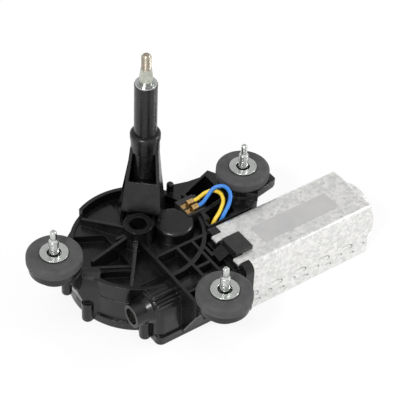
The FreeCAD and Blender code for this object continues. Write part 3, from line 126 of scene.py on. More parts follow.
# Finishes

@dataclass(frozen=True)
class Finish:
    """A surface with a slow change of colour and gloss and a fine grain. Sizes are millimetres."""

    name: str
    colour: str
    second: str
    slot: str
    roughness: float = 0.5
    roughness_change: float = 0.1
    metallic: float = 0.0
    mottle: float = 9.0
    grain: float = 0.8
    relief: float = 0.02
    edge: float = 0.35
    coat: float = 0.0
    specular: float = 0.5
    patch_share: float = 0.45

    def material(self) -> bpy.types.Material:
        """Builds the material the first time that it is asked for.

        Returns:
            The one material of this finish.
        """
        made = bpy.data.materials.get(self.name)
        if made is None:
            made = bpy.data.materials.new(self.name)
            made.use_nodes = True
            made.diffuse_color = linear(self.colour)
            self.dress(made.node_tree)
        return made

    def dress(self, tree: Tree) -> None:
        """Fills the node tree.

        Args:
            tree: The material's node tree, with its first shader.
        """
        shader = tree.nodes["Principled BSDF"]
        shader.inputs["Metallic"].default_value = self.metallic
        shader.inputs["Coat Weight"].default_value = self.coat
        shader.inputs["Specular IOR Level"].default_value = self.specular
        place = add_node(tree, "ShaderNodeTexCoord").outputs["Object"]
        tree.links.new(self.colour_of(tree, place), shader.inputs["Base Color"])
        tree.links.new(self.roughness_of(tree, place), shader.inputs["Roughness"])
        tree.links.new(self.normal_of(tree, place), shader.inputs["Normal"])

    def colour_of(self, tree: Tree, place: Socket) -> Socket:
        """Cloudy change between the two colours.

        Args:
            tree: The material's node tree.
            place: Object coordinates.

        Returns:
            The colour.
        """
        cloud = add_node(tree, "ShaderNodeTexNoise", {
            "Scale": 1 / (self.mottle * MM), "Detail": 5.0, "Roughness": 0.6}, {"Vector": place})
        ramp = add_node(tree, "ShaderNodeValToRGB", links={"Fac": cloud.outputs["Fac"]})
        stops = zip(ramp.color_ramp.elements, CLOUD_SPAN, (self.colour, self.second))
        for stop, share, colour in stops:
            stop.position = share
            stop.color = linear(colour)
        return ramp.outputs["Color"]

    def roughness_of(self, tree: Tree, place: Socket) -> Socket:
        """Gloss that changes in patches about half as large as the clouds of colour.

        Args:
            tree: The material's node tree.
            place: Object coordinates.

        Returns:
            The roughness.
        """
        patch = add_node(tree, "ShaderNodeTexNoise", {
            "Scale": 1 / (self.mottle * self.patch_share * MM), "Detail": 3.0}, {"Vector": place})
        span = add_node(tree, "ShaderNodeMapRange", {
            "From Min": PATCH_SPAN[0], "From Max": PATCH_SPAN[1],
            "To Min": self.roughness - self.roughness_change,
            "To Max": self.roughness + self.roughness_change}, {"Value": patch.outputs["Fac"]})
        return span.outputs["Result"]

    def normal_of(self, tree: Tree, place: Socket) -> Socket:
        """Fine grain on top of softened edges.

        Args:
            tree: The material's node tree.
            place: Object coordinates.

        Returns:
            The normal.
        """
        grain = add_node(tree, "ShaderNodeTexNoise", {
            "Scale": 1 / (self.grain * MM), "Detail": 2.0}, {"Vector": place})
        links = {"Height": grain.outputs["Fac"]}
        if self.edge > 0:
            soft = add_node(tree, "ShaderNodeBevel", {"samples": 4, "Radius": self.edge * MM})
            links["Normal"] = soft.outputs["Normal"]
        bump = add_node(tree, "ShaderNodeBump", {
            "Distance": self.relief * MM, "Strength": 1.0}, links)
        return bump.outputs["Normal"]


@dataclass(frozen=True)
class PrintRow:
    """A row of roller prints along the can's side.

    The shift along the can, the height, and half the width and height of a print are millimetres.
    The line is its width as a share of the print.
    """

    shift: float
    height: float
    wide: float
    tall: float
    line: float


@dataclass(frozen=True)
class GalvanisedSheet(Finish):
    """Hot-dip galvanised drawn steel, with frosty crystals and the rollers' curved prints."""

    crystal: float = 2.3
    wander: float = 2.6
    wander_by: float = 1.6
    fine: float = 1.4
    fine_share: float = 0.62
    scuff: float = 2.2
    scuff_depth: float = 0.8
    scuff_draw: float = 0.45
    scuff_colour: str = "#B9B8B6"
    print_colour: str = "#82807C"
    print_pitch: float = 18.4
    print_slant: tuple[float, float, float] = (1.0, 0.8, 0.0)
    print_from: float = 0.1
    rows: tuple[PrintRow, ...] = (
        PrintRow(6.6, 14.0, 5.2, 2.5, 0.075),
        PrintRow(2.2, 10.6, 1.5, 1.2, 0.2),
        PrintRow(11.4, 7.4, 2.4, 0.8, 0.24),
    )

    def colour_of(self, tree: Tree, place: Socket) -> Socket:
        """Crystals of slightly different greys, with the darker prints and scuffs on them.

        Args:
            tree: The material's node tree.
            place: Object coordinates.

        Returns:
            The colour.
        """
        wander = add_node(tree, "ShaderNodeTexNoise", {
            "Scale": 1 / (self.wander * MM), "Detail": 3.0}, {"Vector": place})
        bent = add_node(tree, "ShaderNodeMix", {
            "data_type": "VECTOR", "Factor": self.wander_by * MM},
            {4: place, 5: wander.outputs["Color"]})
        crystals = add_node(tree, "ShaderNodeTexVoronoi", {
            "Scale": 1 / (self.crystal * MM)}, {"Vector": bent.outputs[1]})
        shade = add_node(tree, "ShaderNodeSeparateColor",
                         links={"Color": crystals.outputs["Color"]})
        fine = add_node(tree, "ShaderNodeTexNoise", {
            "Scale": 1 / (self.fine * MM), "Detail": 4.0}, {"Vector": place})
        both = add_node(tree, "ShaderNodeMix", {
            "data_type": "FLOAT", "Factor": self.fine_share},
            {2: shade.outputs["Red"], 3: fine.outputs["Fac"]})
        ramp = add_node(tree, "ShaderNodeValToRGB", links={"Fac": both.outputs[0]})
        stops = zip(ramp.color_ramp.elements, CRYSTAL_SPAN, (self.second, self.colour))
        for stop, share, colour in stops:
            stop.position = share
            stop.color = linear(colour)
        marked = ramp.outputs["Color"]
        marks = ((self.prints(tree, place), self.print_colour),
                 (self.scuffs(tree, place), self.scuff_colour))
        for amount, colour in marks:
            marked = add_node(tree, "ShaderNodeMix", {
                "data_type": "RGBA", "blend_type": "MULTIPLY", 7: linear(colour)},
                {"Factor": amount, 6: marked}).outputs[2]
        return marked

    def scuffs(self, tree: Tree, place: Socket) -> Socket:
        """Thin grey handling marks, mostly along the can.

        Args:
            tree: The material's node tree.
            place: Object coordinates.

        Returns:
            How strong the mark is, and zero elsewhere.
        """
        drawn = add_node(tree, "ShaderNodeMapping", {
            "Scale": (self.scuff_draw, 1.0, 1.0)}, {"Vector": place})
        noise = add_node(tree, "ShaderNodeTexNoise", {
            "Scale": 1 / (self.scuff * MM), "Detail": 6.0, "Roughness": 0.7},
            {"Vector": drawn.outputs[0]})
        mark = add_node(tree, "ShaderNodeMapRange", {
            "From Min": SCUFF_SPAN[0], "From Max": SCUFF_SPAN[1], "To Min": 0.0,
            "To Max": self.scuff_depth}, {"Value": noise.outputs["Fac"]})
        return mark.outputs["Result"]

    def prints(self, tree: Tree, place: Socket) -> Socket:
        """Crescent prints of the feed rollers in three rows along the can's side.

        Args:
            tree: The material's node tree.
            place: Object coordinates.

        Returns:
            One inside a print's line, and zero elsewhere.
        """
        axes = add_node(tree, "ShaderNodeSeparateXYZ", links={"Vector": place})
        total, *others = [self.crescents(tree, axes, row) for row in self.rows]
        for other in others:
            total = add_node(tree, "ShaderNodeMath", {"operation": "MAXIMUM"},
                             {0: total, 1: other}).outputs[0]
        return total

    def crescents(self, tree: Tree, axes: bpy.types.Node, row: PrintRow) -> Socket:
        """One row of prints, each the half of an oval ring on one side of a slant.

        Args:
            tree: The material's node tree.
            axes: The node that parts the coordinates.
            row: Place and size of the row's prints.

        Returns:
            One inside a print's line, and zero elsewhere.
        """
        reach = self.print_pitch / 2 * MM
        along = add_node(tree, "ShaderNodeMath", {"operation": "ADD", 1: -row.shift * MM},
                         {0: axes.outputs["X"]})
        turned = add_node(tree, "ShaderNodeMath", {"operation": "WRAP", 1: reach, 2: -reach},
                          {0: along.outputs[0]})
        across = add_node(tree, "ShaderNodeMath", {"operation": "ADD", 1: -row.height * MM},
                          {0: axes.outputs["Z"]})
        local = add_node(tree, "ShaderNodeCombineXYZ",
                         links={"X": turned.outputs[0], "Y": across.outputs[0]})
        scaled = add_node(tree, "ShaderNodeVectorMath", {
            "operation": "MULTIPLY", 1: (1 / (row.wide * MM), 1 / (row.tall * MM), 0.0)},
            {0: local.outputs[0]})
        length = add_node(tree, "ShaderNodeVectorMath", {"operation": "LENGTH"},
                          {0: scaled.outputs[0]})
        ring = add_node(tree, "ShaderNodeMath", {"operation": "COMPARE", 1: 1.0, 2: row.line},
                        {0: length.outputs["Value"]})
        slant = add_node(tree, "ShaderNodeVectorMath", {
            "operation": "DOT_PRODUCT", 1: self.print_slant}, {0: scaled.outputs[0]})
        half = add_node(tree, "ShaderNodeMath", {
            "operation": "GREATER_THAN", 1: self.print_from}, {0: slant.outputs["Value"]})
        crescent = add_node(tree, "ShaderNodeMath", {"operation": "MULTIPLY"},
                            {0: ring.outputs[0], 1: half.outputs[0]})
        return crescent.outputs[0]


@dataclass(frozen=True)
class TurnedSteel(Finish):
    """Steel turned on a lathe, with fine rings round an upright axis.

    A wave texture of scale 1 has one band in 0.314 of the unit of length.
    """

    ring: float = 0.5
    band: float = 0.314

    def normal_of(self, tree: Tree, place: Socket) -> Socket:
        """Tool rings. The real ones are 0.1 mm apart, and these are coarser so that they show.

        Args:
            tree: The material's node tree.
            place: Object coordinates.

        Returns:
            The normal.
        """
        rings = add_node(tree, "ShaderNodeTexWave", {
            "bands_direction": "Z", "Scale": self.band / (self.ring * MM), "Distortion": 0.6,
            "Detail": 1.0}, {"Vector": place})
        bump = add_node(tree, "ShaderNodeBump", {"Distance": self.relief * MM},
                        {"Height": rings.outputs["Fac"]})
        return bump.outputs["Normal"]


class Skin(Enum):
    """Every finish on the part, named for what the real one is."""

    # Glass-filled nylon 66, injection moulded: deep black with a soft sheen, greyer where handled.
    NYLON = Finish("glass_filled_nylon", "#09090A", "#131314", "black_nylon", 0.27, 0.08,
                   mottle=12, grain=0.7, relief=0.014, edge=0.7, specular=0.46)
    # The same nylon from a finer polished tool: a little glossier than the housing.
    COVER = Finish("moulded_nylon_cover", "#0C0C0D", "#161617", "cover_plastic", 0.25, 0.06,
                   mottle=18, grain=0.9, relief=0.01, edge=0.45, specular=0.46)
    # EPDM rubber, compression moulded: matt dark grey with a pale bloom.
    RUBBER = Finish("moulded_epdm_rubber", "#3D3C3D", "#4A494A", "grey_rubber", 0.72, 0.08,
                    mottle=7, grain=0.5, relief=0.02, edge=0.0)
    # Turned steel with bright zinc plating: pale and mirror-like, with a faint green cast.
    ZINC = Finish("zinc_plated_steel", "#D6D8D6", "#C6C9C5", "zinc_steel", 0.24, 0.04, 1.0,
                  mottle=5.0, grain=0.5, relief=0.0015, edge=0.15)
    # Passivated spindle steel, ground and knurled: grey-green, with fine rings round it.
    SPINDLE = TurnedSteel("turned_spindle_steel", "#C9CAC0", "#ADB0A4", "spindle_steel", 0.27,
                          0.07, 1.0, mottle=2.2, relief=0.01, edge=0.0)
    # The same steel where the thread was rolled: browner, because oil stays in it.
    THREAD = Finish("oiled_rolled_thread", "#BDB5A6", "#9F9586", "spindle_steel", 0.3, 0.07, 1.0,
                    mottle=1.6, grain=0.4, relief=0.006, edge=0.0)
    # Ground bare steel of pins and shafts: cold, bright and finely ringed.
    BRIGHT = TurnedSteel("ground_bright_steel", "#C9CBCC", "#B6B8B9", "bright_steel", 0.22, 0.05,
                         1.0, mottle=5.0, relief=0.005, edge=0.0)
    # Hot-dip galvanised sheet, deep drawn: pale and frosty, with the crystals just showing.
    CAN = GalvanisedSheet("galvanised_drawn_sheet", "#F0EFED", "#D0D0CE", "galvanised", 0.36,
                          0.08, 0.75, mottle=5.0, grain=0.9, relief=0.01, edge=0.7)
    # Bronze powder, pressed and sintered: dull brown-gold and slightly porous.
    BRONZE = Finish("sintered_bronze", "#A9793F", "#8F6534", "bronze", 0.45, 0.08, 1.0,
                    mottle=2.0, grain=0.25, relief=0.01, edge=0.1)
    # Thin brass strip, stamped and lightly tinned: warm pale gold, cooler in patches.
    BRASS = Finish("tinned_brass_strip", "#DDBB80", "#B08C58", "brass", 0.26, 0.08, 1.0,
                   mottle=1.6, grain=0.4, relief=0.006, edge=0.12)
    # Natural acetal, injection moulded: creamy white with a waxy gloss.
    ACETAL = Finish("natural_acetal", "#E9E4D6", "#DDD7C6", "acetal", 0.36, 0.05, mottle=8,
                    grain=0.6, relief=0.008, edge=0.2)
    # Dark PBT, injection moulded: brown-black and half matt.
    HOLDER = Finish("moulded_pbt_dark", "#1C1B1B", "#2B2A29", "dark_plastic", 0.4, 0.08, mottle=5,
                    grain=0.5, relief=0.015, edge=0.3)
    # Enamelled copper wire, wound: red-brown metal under a clear coat, with the turns showing.
    COPPER = Finish("enamelled_copper_wire", "#A4502A", "#C0693A", "copper", 0.3, 0.08, 0.9,
                    mottle=1.2, grain=0.45, relief=0.06, edge=0.2, coat=0.4)
    # Punched silicon steel, stacked: dull mid grey.
    CORE = Finish("silicon_steel_laminations", "#6F7072", "#5A5B5D", "lamination", 0.5, 0.08, 0.9,
                  mottle=3, grain=0.5, relief=0.03, edge=0.1)
    # Hard ferrite, sintered and ground: charcoal, dense and matt.
    FERRITE = Finish("sintered_ferrite", "#35363A", "#2B2C2F", "ferrite", 0.6, 0.08, mottle=4,
                     grain=0.3, relief=0.02, edge=0.2)
    # Carbon and copper powder, pressed: near black with a faint metal glint.
    CARBON = Finish("pressed_carbon", "#2A2A2C", "#1F1F21", "carbon", 0.5, 0.08, 0.2, mottle=2,
                    grain=0.3, relief=0.02, edge=0.1)
    # Nitrile rubber, moulded: soft black without a bloom.
    SEAL = Finish("nitrile_seal_rubber", "#232325", "#2C2C2E", "seal_rubber", 0.65, 0.05,
                  mottle=6, grain=0.5, relief=0.01, edge=0.2)
    # Yellow PVC, extruded over the wire: strong even colour with a plastic shine.
    YELLOW = Finish("yellow_pvc_insulation", "#F8D548", "#F3CB3C", "lead_yellow", 0.34, 0.05,
                    mottle=4, grain=0.6, relief=0.01, edge=0.0)
    # Blue PVC, extruded the same way: clear mid blue with a plastic shine.
    BLUE = Finish("blue_pvc_insulation", "#3A86DC", "#3179CC", "lead_blue", 0.34, 0.05, mottle=4,
                  grain=0.6, relief=0.01, edge=0.0)
    # Phenolic paper board, punched: brown and half matt.
    BOARD = Finish("phenolic_paper_board", "#6B4A2A", "#5C3E22", "board", 0.5, 0.06, mottle=6,
                   grain=0.5, relief=0.01, edge=0.1)
    # Label foil with nothing on it: flat silver grey beside the brighter can.
    LABEL = Finish("blank_label_foil", "#ADACAC", "#B6B5B4", "galvanised", 0.4, 0.05, 0.1,
                   mottle=12, grain=1.2, relief=0.004, edge=0.0)


MOULDED_REGIONS = ("gear_housing", "drum_top", "housing_tower", "arm_left", "arm_right",
                   "arm_front")

WORN_BY: dict[Skin, tuple[str, ...]] = {
    Skin.NYLON: MOULDED_REGIONS,
    Skin.COVER: ("bottom_cover",),
    Skin.SEAL: ("cover_seal",),
    Skin.RUBBER: ("grommet_left", "grommet_right", "grommet_front"),
    Skin.ZINC: ("cover_screws", "spindle_washer", "connecting_rod", "mount_sleeve_left",
                "mount_sleeve_right", "mount_sleeve_front", "mount_stud_left",
                "mount_stud_right", "mount_stud_front"),
    Skin.SPINDLE: ("spindle",),
    Skin.BRIGHT: ("spindle_circlip", "wheel_axle", "crank_pin", "rod_pin", "sector_pivot",
                  "armature_shaft", "worm", "brush_springs"),
    Skin.CORE: ("spindle_pinion", "sector_gear", "armature_core"),
    Skin.BRONZE: ("spindle_bush_upper", "spindle_bush_lower", "front_bearing", "end_bush",
                  "yoke_bush"),
    Skin.ACETAL: ("worm_wheel", "thrust_plug"),
    Skin.BRASS: ("park_contact_ring", "contact_springs", "terminal_yellow", "terminal_blue"),
    Skin.COPPER: ("armature_windings", "commutator"),
    Skin.FERRITE: ("magnet_upper", "magnet_lower"),
    Skin.CAN: ("yoke",),
    Skin.HOLDER: ("brush_plate", "key_block", "terminal_holder"),
    Skin.CARBON: ("brushes",),
    Skin.BOARD: ("contact_board",),
    Skin.YELLOW: ("lead_yellow",),
    Skin.BLUE: ("lead_blue",),
}
NODE_SKINS: dict[str, Skin] = {node: skin for skin, nodes in WORN_BY.items() for node in nodes}

# Nodes that are shown with their own shape, and the names of the pieces that stand for them.
SMOOTHED = {"yoke": "motor_can", "lead_yellow": "yellow_lead", "lead_blue": "blue_lead"}


class Side(Enum):
    """The three mounts."""

    LEFT = "left"
    RIGHT = "right"
    FRONT = "front"


# Mesh helpers

@dataclass(frozen=True)
class Extent:
    """Axis, reach and ends of a node that stands upright, in millimetres."""

    axis: Plan
    reach: float
    low: float
    high: float

    @classmethod
    def of(cls, node: str) -> "Extent":
        """Reads them from the node's box.

        Args:
            node: Name of the node.

        Returns:
            Its extent.
        """
        low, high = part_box(node)
        axis = ((low.x + high.x) / 2 / MM, (low.y + high.y) / 2 / MM)
        return cls(axis, (high.x - low.x) / 2 / MM, low.z / MM, high.z / MM)


def finished(name: str, bm: BMesh, skin: Skin, body: str, replaced: tuple[str, ...] = (),
             smooth: float = 35.0) -> bpy.types.Object:
    """Makes a piece of a bmesh, dresses it and lets it ride.

    Args:
        name: Name of the new object.
        bm: The mesh, in metres in the part's own frame. It is freed here.
        skin: Its finish.
        body: The body that it moves with.
        replaced: Nodes that it stands for.
        smooth: Edges flatter than this many degrees are shaded smooth.

    Returns:
        The new object.
    """
    for face in bm.faces:
        face.smooth = True
    for edge in bm.edges:
        flat = edge.calc_face_angle(0.0) < math.radians(smooth)
        edge.smooth = len(edge.link_faces) == 2 and flat
    mesh = bpy.data.meshes.new(name)
    bm.to_mesh(mesh)
    bm.free()
    piece = bpy.data.objects.new(name, mesh)
    bpy.context.scene.collection.objects.link(piece)
    piece.data.materials.append(skin.value.material())
    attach(piece, body)
    if replaced:
        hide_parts(*replaced)
    log.info("%s: %d faces", name, len(mesh.polygons))
    return piece


def add_part(bm: BMesh, part: BMesh, axis: Plan) -> None:
    """Moves a closed shape to its axis and adds it to a piece.

    Args:
        bm: The piece's mesh.
        part: The shape, made round the origin. It is freed here.
        axis: Plan place of the axis in millimetres.
    """
    bmesh.ops.remove_doubles(part, verts=part.verts, dist=WELD * MM)
    bmesh.ops.recalc_face_normals(part, faces=part.faces)
    bmesh.ops.translate(part, verts=part.verts, vec=(axis[0] * MM, axis[1] * MM, 0))
    mesh = bpy.data.meshes.new("shape")
    part.to_mesh(mesh)
    part.free()
    bm.from_mesh(mesh)
    bpy.data.meshes.remove(mesh)


def turn(bm: BMesh, profile: list[Plan], axis: Plan, steps: int) -> None:
    """Turns a closed outline round an upright axis.

    Args:
        bm: The mesh that gets the ring.
        profile: Radius and height of each corner in millimetres, in order.
        axis: Plan place of the axis in millimetres.
        steps: Faces round the ring.
    """
    part = bmesh.new()
    verts = [part.verts.new((r * MM, 0, z * MM)) for r, z in profile]
    pairs = list(zip(verts, verts[1:]))
    if min(r for r, z in profile) > 0:
        pairs.append((verts[-1], verts[0]))
    edges = [part.edges.new(pair) for pair in pairs]
    bmesh.ops.spin(part, geom=verts + edges, cent=(0, 0, 0), axis=UPRIGHT, angle=math.tau,
                   steps=steps, use_merge=True)
    add_part(bm, part, axis)


def lifted(corners: tuple[Corner, ...], out: float, up: float) -> list[Corner]:
    """Moves the corners of a profile out by one length and up by another."""
    return [(r + out, z + up, rounding) for r, z, rounding in corners]


def rounded(points: list[Corner], steps: int = 5) -> list[Plan]:
    """Rounds the corners of an outline.

    Args:
        points: Corners with the radius of each, in millimetres.
        steps: Points on each rounding.

    Returns:
        The outline with its corners as short arcs.
    """
    out = []
    for i, (x, y, r) in enumerate(points):
        here = Vector((x, y))
        before = Vector(points[i - 1][:2]) - here
        after = Vector(points[(i + 1) % len(points)][:2]) - here
        if r <= 0 or before.length == 0 or after.length == 0:
            out.append((x, y))
            continue
        half = before.angle(after) / 2
        cut = min(r / math.tan(half), before.length * SIDE_SHARE, after.length * SIDE_SHARE)
        a = here + before.normalized() * cut
        b = here + after.normalized() * cut
        for k in range(steps + 1):
            t = k / steps
            p = a * (1 - t) ** 2 + here * (2 * t * (1 - t)) + b * t ** 2
            out.append((p.x, p.y))
    return out


@dataclass(frozen=True)
class Thread:
    """A right-hand screw thread. Sizes are millimetres.

    The flank's outline gives the share of the pitch at which the crest and the root start and end.
    """

    crest: float = 3.0
    root: float = 2.8
    pitch: float = 1.0
    steps: int = 28
    crest_shares: tuple[float, float] = (0.42, 0.55)
    root_share: float = 0.97

    def cut(self, bm: BMesh, low: float, high: float, axis: Plan) -> None:
        """Adds the thread as one helical surface with flat ends.

        Args:
            bm: The mesh that gets the thread.
            low: Lower end in millimetres.
            high: Upper end.
            axis: Plan place of the axis.
        """
        part = bmesh.new()
        start = low - self.pitch
        turns = math.ceil((high - low) / self.pitch) + 2
        outline = [(self.root, 0.0)] + [(self.crest, share) for share in self.crest_shares]
        outline += [(self.root, self.root_share), (self.root, 1.0)]
        verts = [part.verts.new((r * MM, 0, (start + share * self.pitch) * MM))
                 for r, share in outline]
        edges = [part.edges.new(pair) for pair in zip(verts, verts[1:])]
        bmesh.ops.spin(part, geom=verts + edges, cent=(0, 0, 0), axis=UPRIGHT,
                       dvec=(0, 0, self.pitch / self.steps * MM), angle=math.tau * turns,
                       steps=self.steps * turns)
        bmesh.ops.remove_doubles(part, verts=part.verts, dist=WELD * MM)
        for height, above in ((low, False), (high, True)):
            geom = list(part.verts) + list(part.edges) + list(part.faces)
            bmesh.ops.bisect_plane(part, geom=geom, dist=CUT_NEAR * MM, plane_no=UPRIGHT,
                                   plane_co=(0, 0, height * MM), clear_outer=above,
                                   clear_inner=not above)
        open_edges = [e for e in part.edges if len(e.link_faces) == 1]
        bmesh.ops.holes_fill(part, edges=open_edges, sides=0)
        add_part(bm, part, axis)


def stacked(rings: list[tuple[float, list[float]]]) -> BMesh:
    """Closed shape through level rings round the origin's upright axis.

    Args:
        rings: Height of each ring and the radii of its points, in millimetres, in order.

    Returns:
        The shape as a new bmesh.
    """
    part = bmesh.new()
    loops = []
    for height, radii in rings:
        ring = bmesh.ops.create_circle(part, segments=len(radii), radius=MM)["verts"]
        for vert, radius in zip(ring, radii):
            vert.co = Vector((vert.co.x * radius, vert.co.y * radius, height * MM))
        loops.append([e for e in part.edges if e.verts[0] in ring and e.verts[1] in ring])
    for one, other in zip(loops, loops[1:]):
        bmesh.ops.bridge_loops(part, edges=one + other)
    for end in (loops[0], loops[-1]):
        bmesh.ops.edgeloop_fill(part, edges=end)
    return part


# Sub-assemblies

@dataclass
class Moulding:
    """The gear housing as the one moulding that it is, from the nodes that it is divided into.

    Sizes are millimetres.
    """

    nodes: dict[str, bpy.types.Object]
    drum_reach: float = 44.6
    near: float = 0.004
    planes: list[tuple[int, float]] = field(init=False)
    drum: Vector = field(init=False)

    def __post_init__(self) -> None:
        """Takes the dividing planes from the regions' boxes, and the drum's axis from the wheel."""
        self.planes = [
            (Z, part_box("housing_tower")[0].z),
            (X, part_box("arm_left")[1].x),
            (Z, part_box("arm_left")[0].z),
            (Y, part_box("arm_front")[1].y),
            (X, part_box("arm_right")[0].x),
            (Z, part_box("drum_top")[0].z),
        ]
        low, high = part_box("wheel_axle")
        self.drum = (low + high) / 2

    def divides(self, corners: list[Vector]) -> bool:
        """Whether a triangle lies on a surface that divides the moulding.

        Args:
            corners: Its corners in metres.

        Returns:
            True for a face that the real moulding doesn't have.
        """
        near = self.near * MM
        for axis, level in self.planes:
            if all(abs(c[axis] - level) < near for c in corners):
                return True
        reaches = [math.hypot(c.x - self.drum.x, c.y - self.drum.y) for c in corners]
        return all(abs(reach - self.drum_reach * MM) < near for reach in reaches)

    def build(self) -> bpy.types.Object:
        """Joins the regions and drops the faces between them.

        Returns:
            The moulding.
        """
        bm = bmesh.new()
        for name in MOULDED_REGIONS:
            bm.from_mesh(self.nodes[name].data)
        between = [f for f in bm.faces if self.divides([v.co for v in f.verts])]
        bmesh.ops.delete(bm, geom=between, context="FACES")
        bmesh.ops.remove_doubles(bm, verts=bm.verts, dist=self.near * MM)
        log.info("moulding: %d dividing faces dropped, %d open edges", len(between),
                 sum(len(e.link_faces) == 1 for e in bm.edges))
        return finished("gear_housing_moulding", bm, Skin.NYLON, "housing", MOULDED_REGIONS)


def smoothed(node: bpy.types.Object, name: str) -> bpy.types.Object:
    """Stands for a node with the same shape, shaded smooth where it curves.

    Args:
        node: The node, whose mesh is loose triangles.
        name: Name of the new piece.

    Returns:
        The new piece.
    """
    bm = bmesh.new()
    bm.from_mesh(node.data)
    bmesh.ops.remove_doubles(bm, verts=bm.verts, dist=NODE_WELD * MM)
    return finished(name, bm, NODE_SKINS[node.name], "housing", (node.name,))


@dataclass
class Mount:
    """Rubber grommet, flanged sleeve and threaded stud of one eye. Sizes are millimetres.

    Each corner of a profile is a radius, a height and a rounding, measured from the place that
    the method of the piece gives.
    """

    side: Side
    eye_low: float = 43.0
    eye_high: float = 47.5
    waist: float = 8.9
    bore: float = 5.6
    foot: tuple[Corner, ...] = ((12.2, 0.0, 1.0),)
    under_eye: tuple[Corner, ...] = ((12.8, -0.4, 0.4), (8.9, -0.1, 0.0))
    lip: tuple[Corner, ...] = ((-0.9, 0.1, 0.8), (0.0, 1.8, 0.8))
    shoulder: tuple[Corner, ...] = ((-0.1, -1.4, 1.2), (-1.7, 0.0, 1.0))
    seat: tuple[Corner, ...] = ((3.6, 0.0, 0.2), (3.4, -0.3, 0.1), (0.0, -0.3, 0.0))
    sleeve_bore: float = 4.1
    sleeve_round: float = 0.2
    neck_round: float = 0.1
    flange_rounds: tuple[float, float] = (0.25, 0.35)
    sleeve_mouth: tuple[Corner, ...] = ((4.5, 0.0, 0.5), (4.1, -0.8, 0.3))
    collar_t: float = 2.5
    collar_rounds: tuple[float, float] = (0.4, 0.3)
    shank_r: float = 4.05
    shank: tuple[Corner, ...] = ((4.05, -23.0, 0.3), (2.7, -21.7, 0.2), (2.62, -16.6, 0.0),
                                 (0.0, -16.6, 0.0))
    thread: Thread = Thread()
    thread_ends: tuple[float, float] = (-16.9, -7.9)
    pilot: tuple[Corner, ...] = ((0.0, -8.0, 0.0), (2.55, -8.0, 0.0), (2.6, -7.6, 0.2),
                                 (2.0, -6.4, 0.3), (2.0, -1.0, 0.2), (1.2, 0.0, 0.3),
                                 (0.0, 0.0, 0.0))
    round_steps: int = 96
    stud_steps: int = 48
    pilot_steps: int = 40
    flange_smooth: float = 25
    thread_smooth: float = 40
    rubber: Extent = field(init=False)

    def __post_init__(self) -> None:
        """Takes the axis and the ends from the grommet's node."""
        self.rubber = Extent.of("grommet_" + self.side.value)

    def grommet(self) -> bpy.types.Object:
        """Rubber ring with rounded lips and a shallow step round the washer.

        Returns:
            The grommet.
        """
        r, low, high = self.rubber.reach, self.rubber.low, self.rubber.high
        profile = [(self.bore, low, 0.0)]
        profile += lifted(self.foot, 0.0, low)
        profile += lifted(self.under_eye, 0.0, self.eye_low)
        profile += [(self.waist, self.eye_high + self.lip[0][1], 0.0)]
        profile += lifted(self.lip, r, self.eye_high)
        profile += lifted(self.shoulder, r, high)
        profile += lifted(self.seat, self.bore, high)
        bm = bmesh.new()
        turn(bm, rounded(profile), self.rubber.axis, self.round_steps)
        return finished("rubber_grommet_" + self.side.value, bm, Skin.RUBBER, "housing",
                        ("grommet_" + self.side.value,))

    def sleeve(self) -> bpy.types.Object:
        """Steel sleeve with its washer-like flange on the rubber.

        Returns:
            The sleeve.
        """
        size = Extent.of("mount_sleeve_" + self.side.value)
        top = self.rubber.high
        under, over = self.flange_rounds
        profile = [
            (self.sleeve_bore, size.low, self.sleeve_round),
            (self.bore, size.low, self.sleeve_round),
            (self.bore, top, self.neck_round),
            (size.reach, top, under),
            (size.reach, size.high, over),
        ]
        profile += lifted(self.sleeve_mouth, 0.0, size.high)
        bm = bmesh.new()
        turn(bm, rounded(profile), self.rubber.axis, self.round_steps)
        return finished("steel_sleeve_" + self.side.value, bm, Skin.ZINC, "housing",
                        ("mount_sleeve_" + self.side.value,), self.flange_smooth)

    def stud(self) -> bpy.types.Object:
        """Stud with a collar at its foot, a rolled M6 thread and a thin pilot end.

        Returns:
            The stud.
        """
        size = Extent.of("mount_stud_" + self.side.value)
        axis = self.rubber.axis
        collar_top = size.low + self.collar_t
        under, over = self.collar_rounds
        profile = [
            (0.0, size.low, 0.0),
            (size.reach, size.low, under),
            (size.reach, collar_top, over),
            (self.shank_r, collar_top, 0.0),
        ]
        profile += lifted(self.shank, 0.0, size.high)
        bm = bmesh.new()
        turn(bm, rounded(profile), axis, self.stud_steps)
        low, high = self.thread_ends
        self.thread.cut(bm, size.high + low, size.high + high, axis)
        turn(bm, rounded(lifted(self.pilot, 0.0, size.high)), axis, self.pilot_steps)
        return finished("threaded_stud_" + self.side.value, bm, Skin.ZINC, "housing",
                        ("mount_stud_" + self.side.value,), self.thread_smooth)

    def build(self) -> None:
        """Makes the three pieces."""
        self.grommet()
        self.sleeve()
        self.stud()


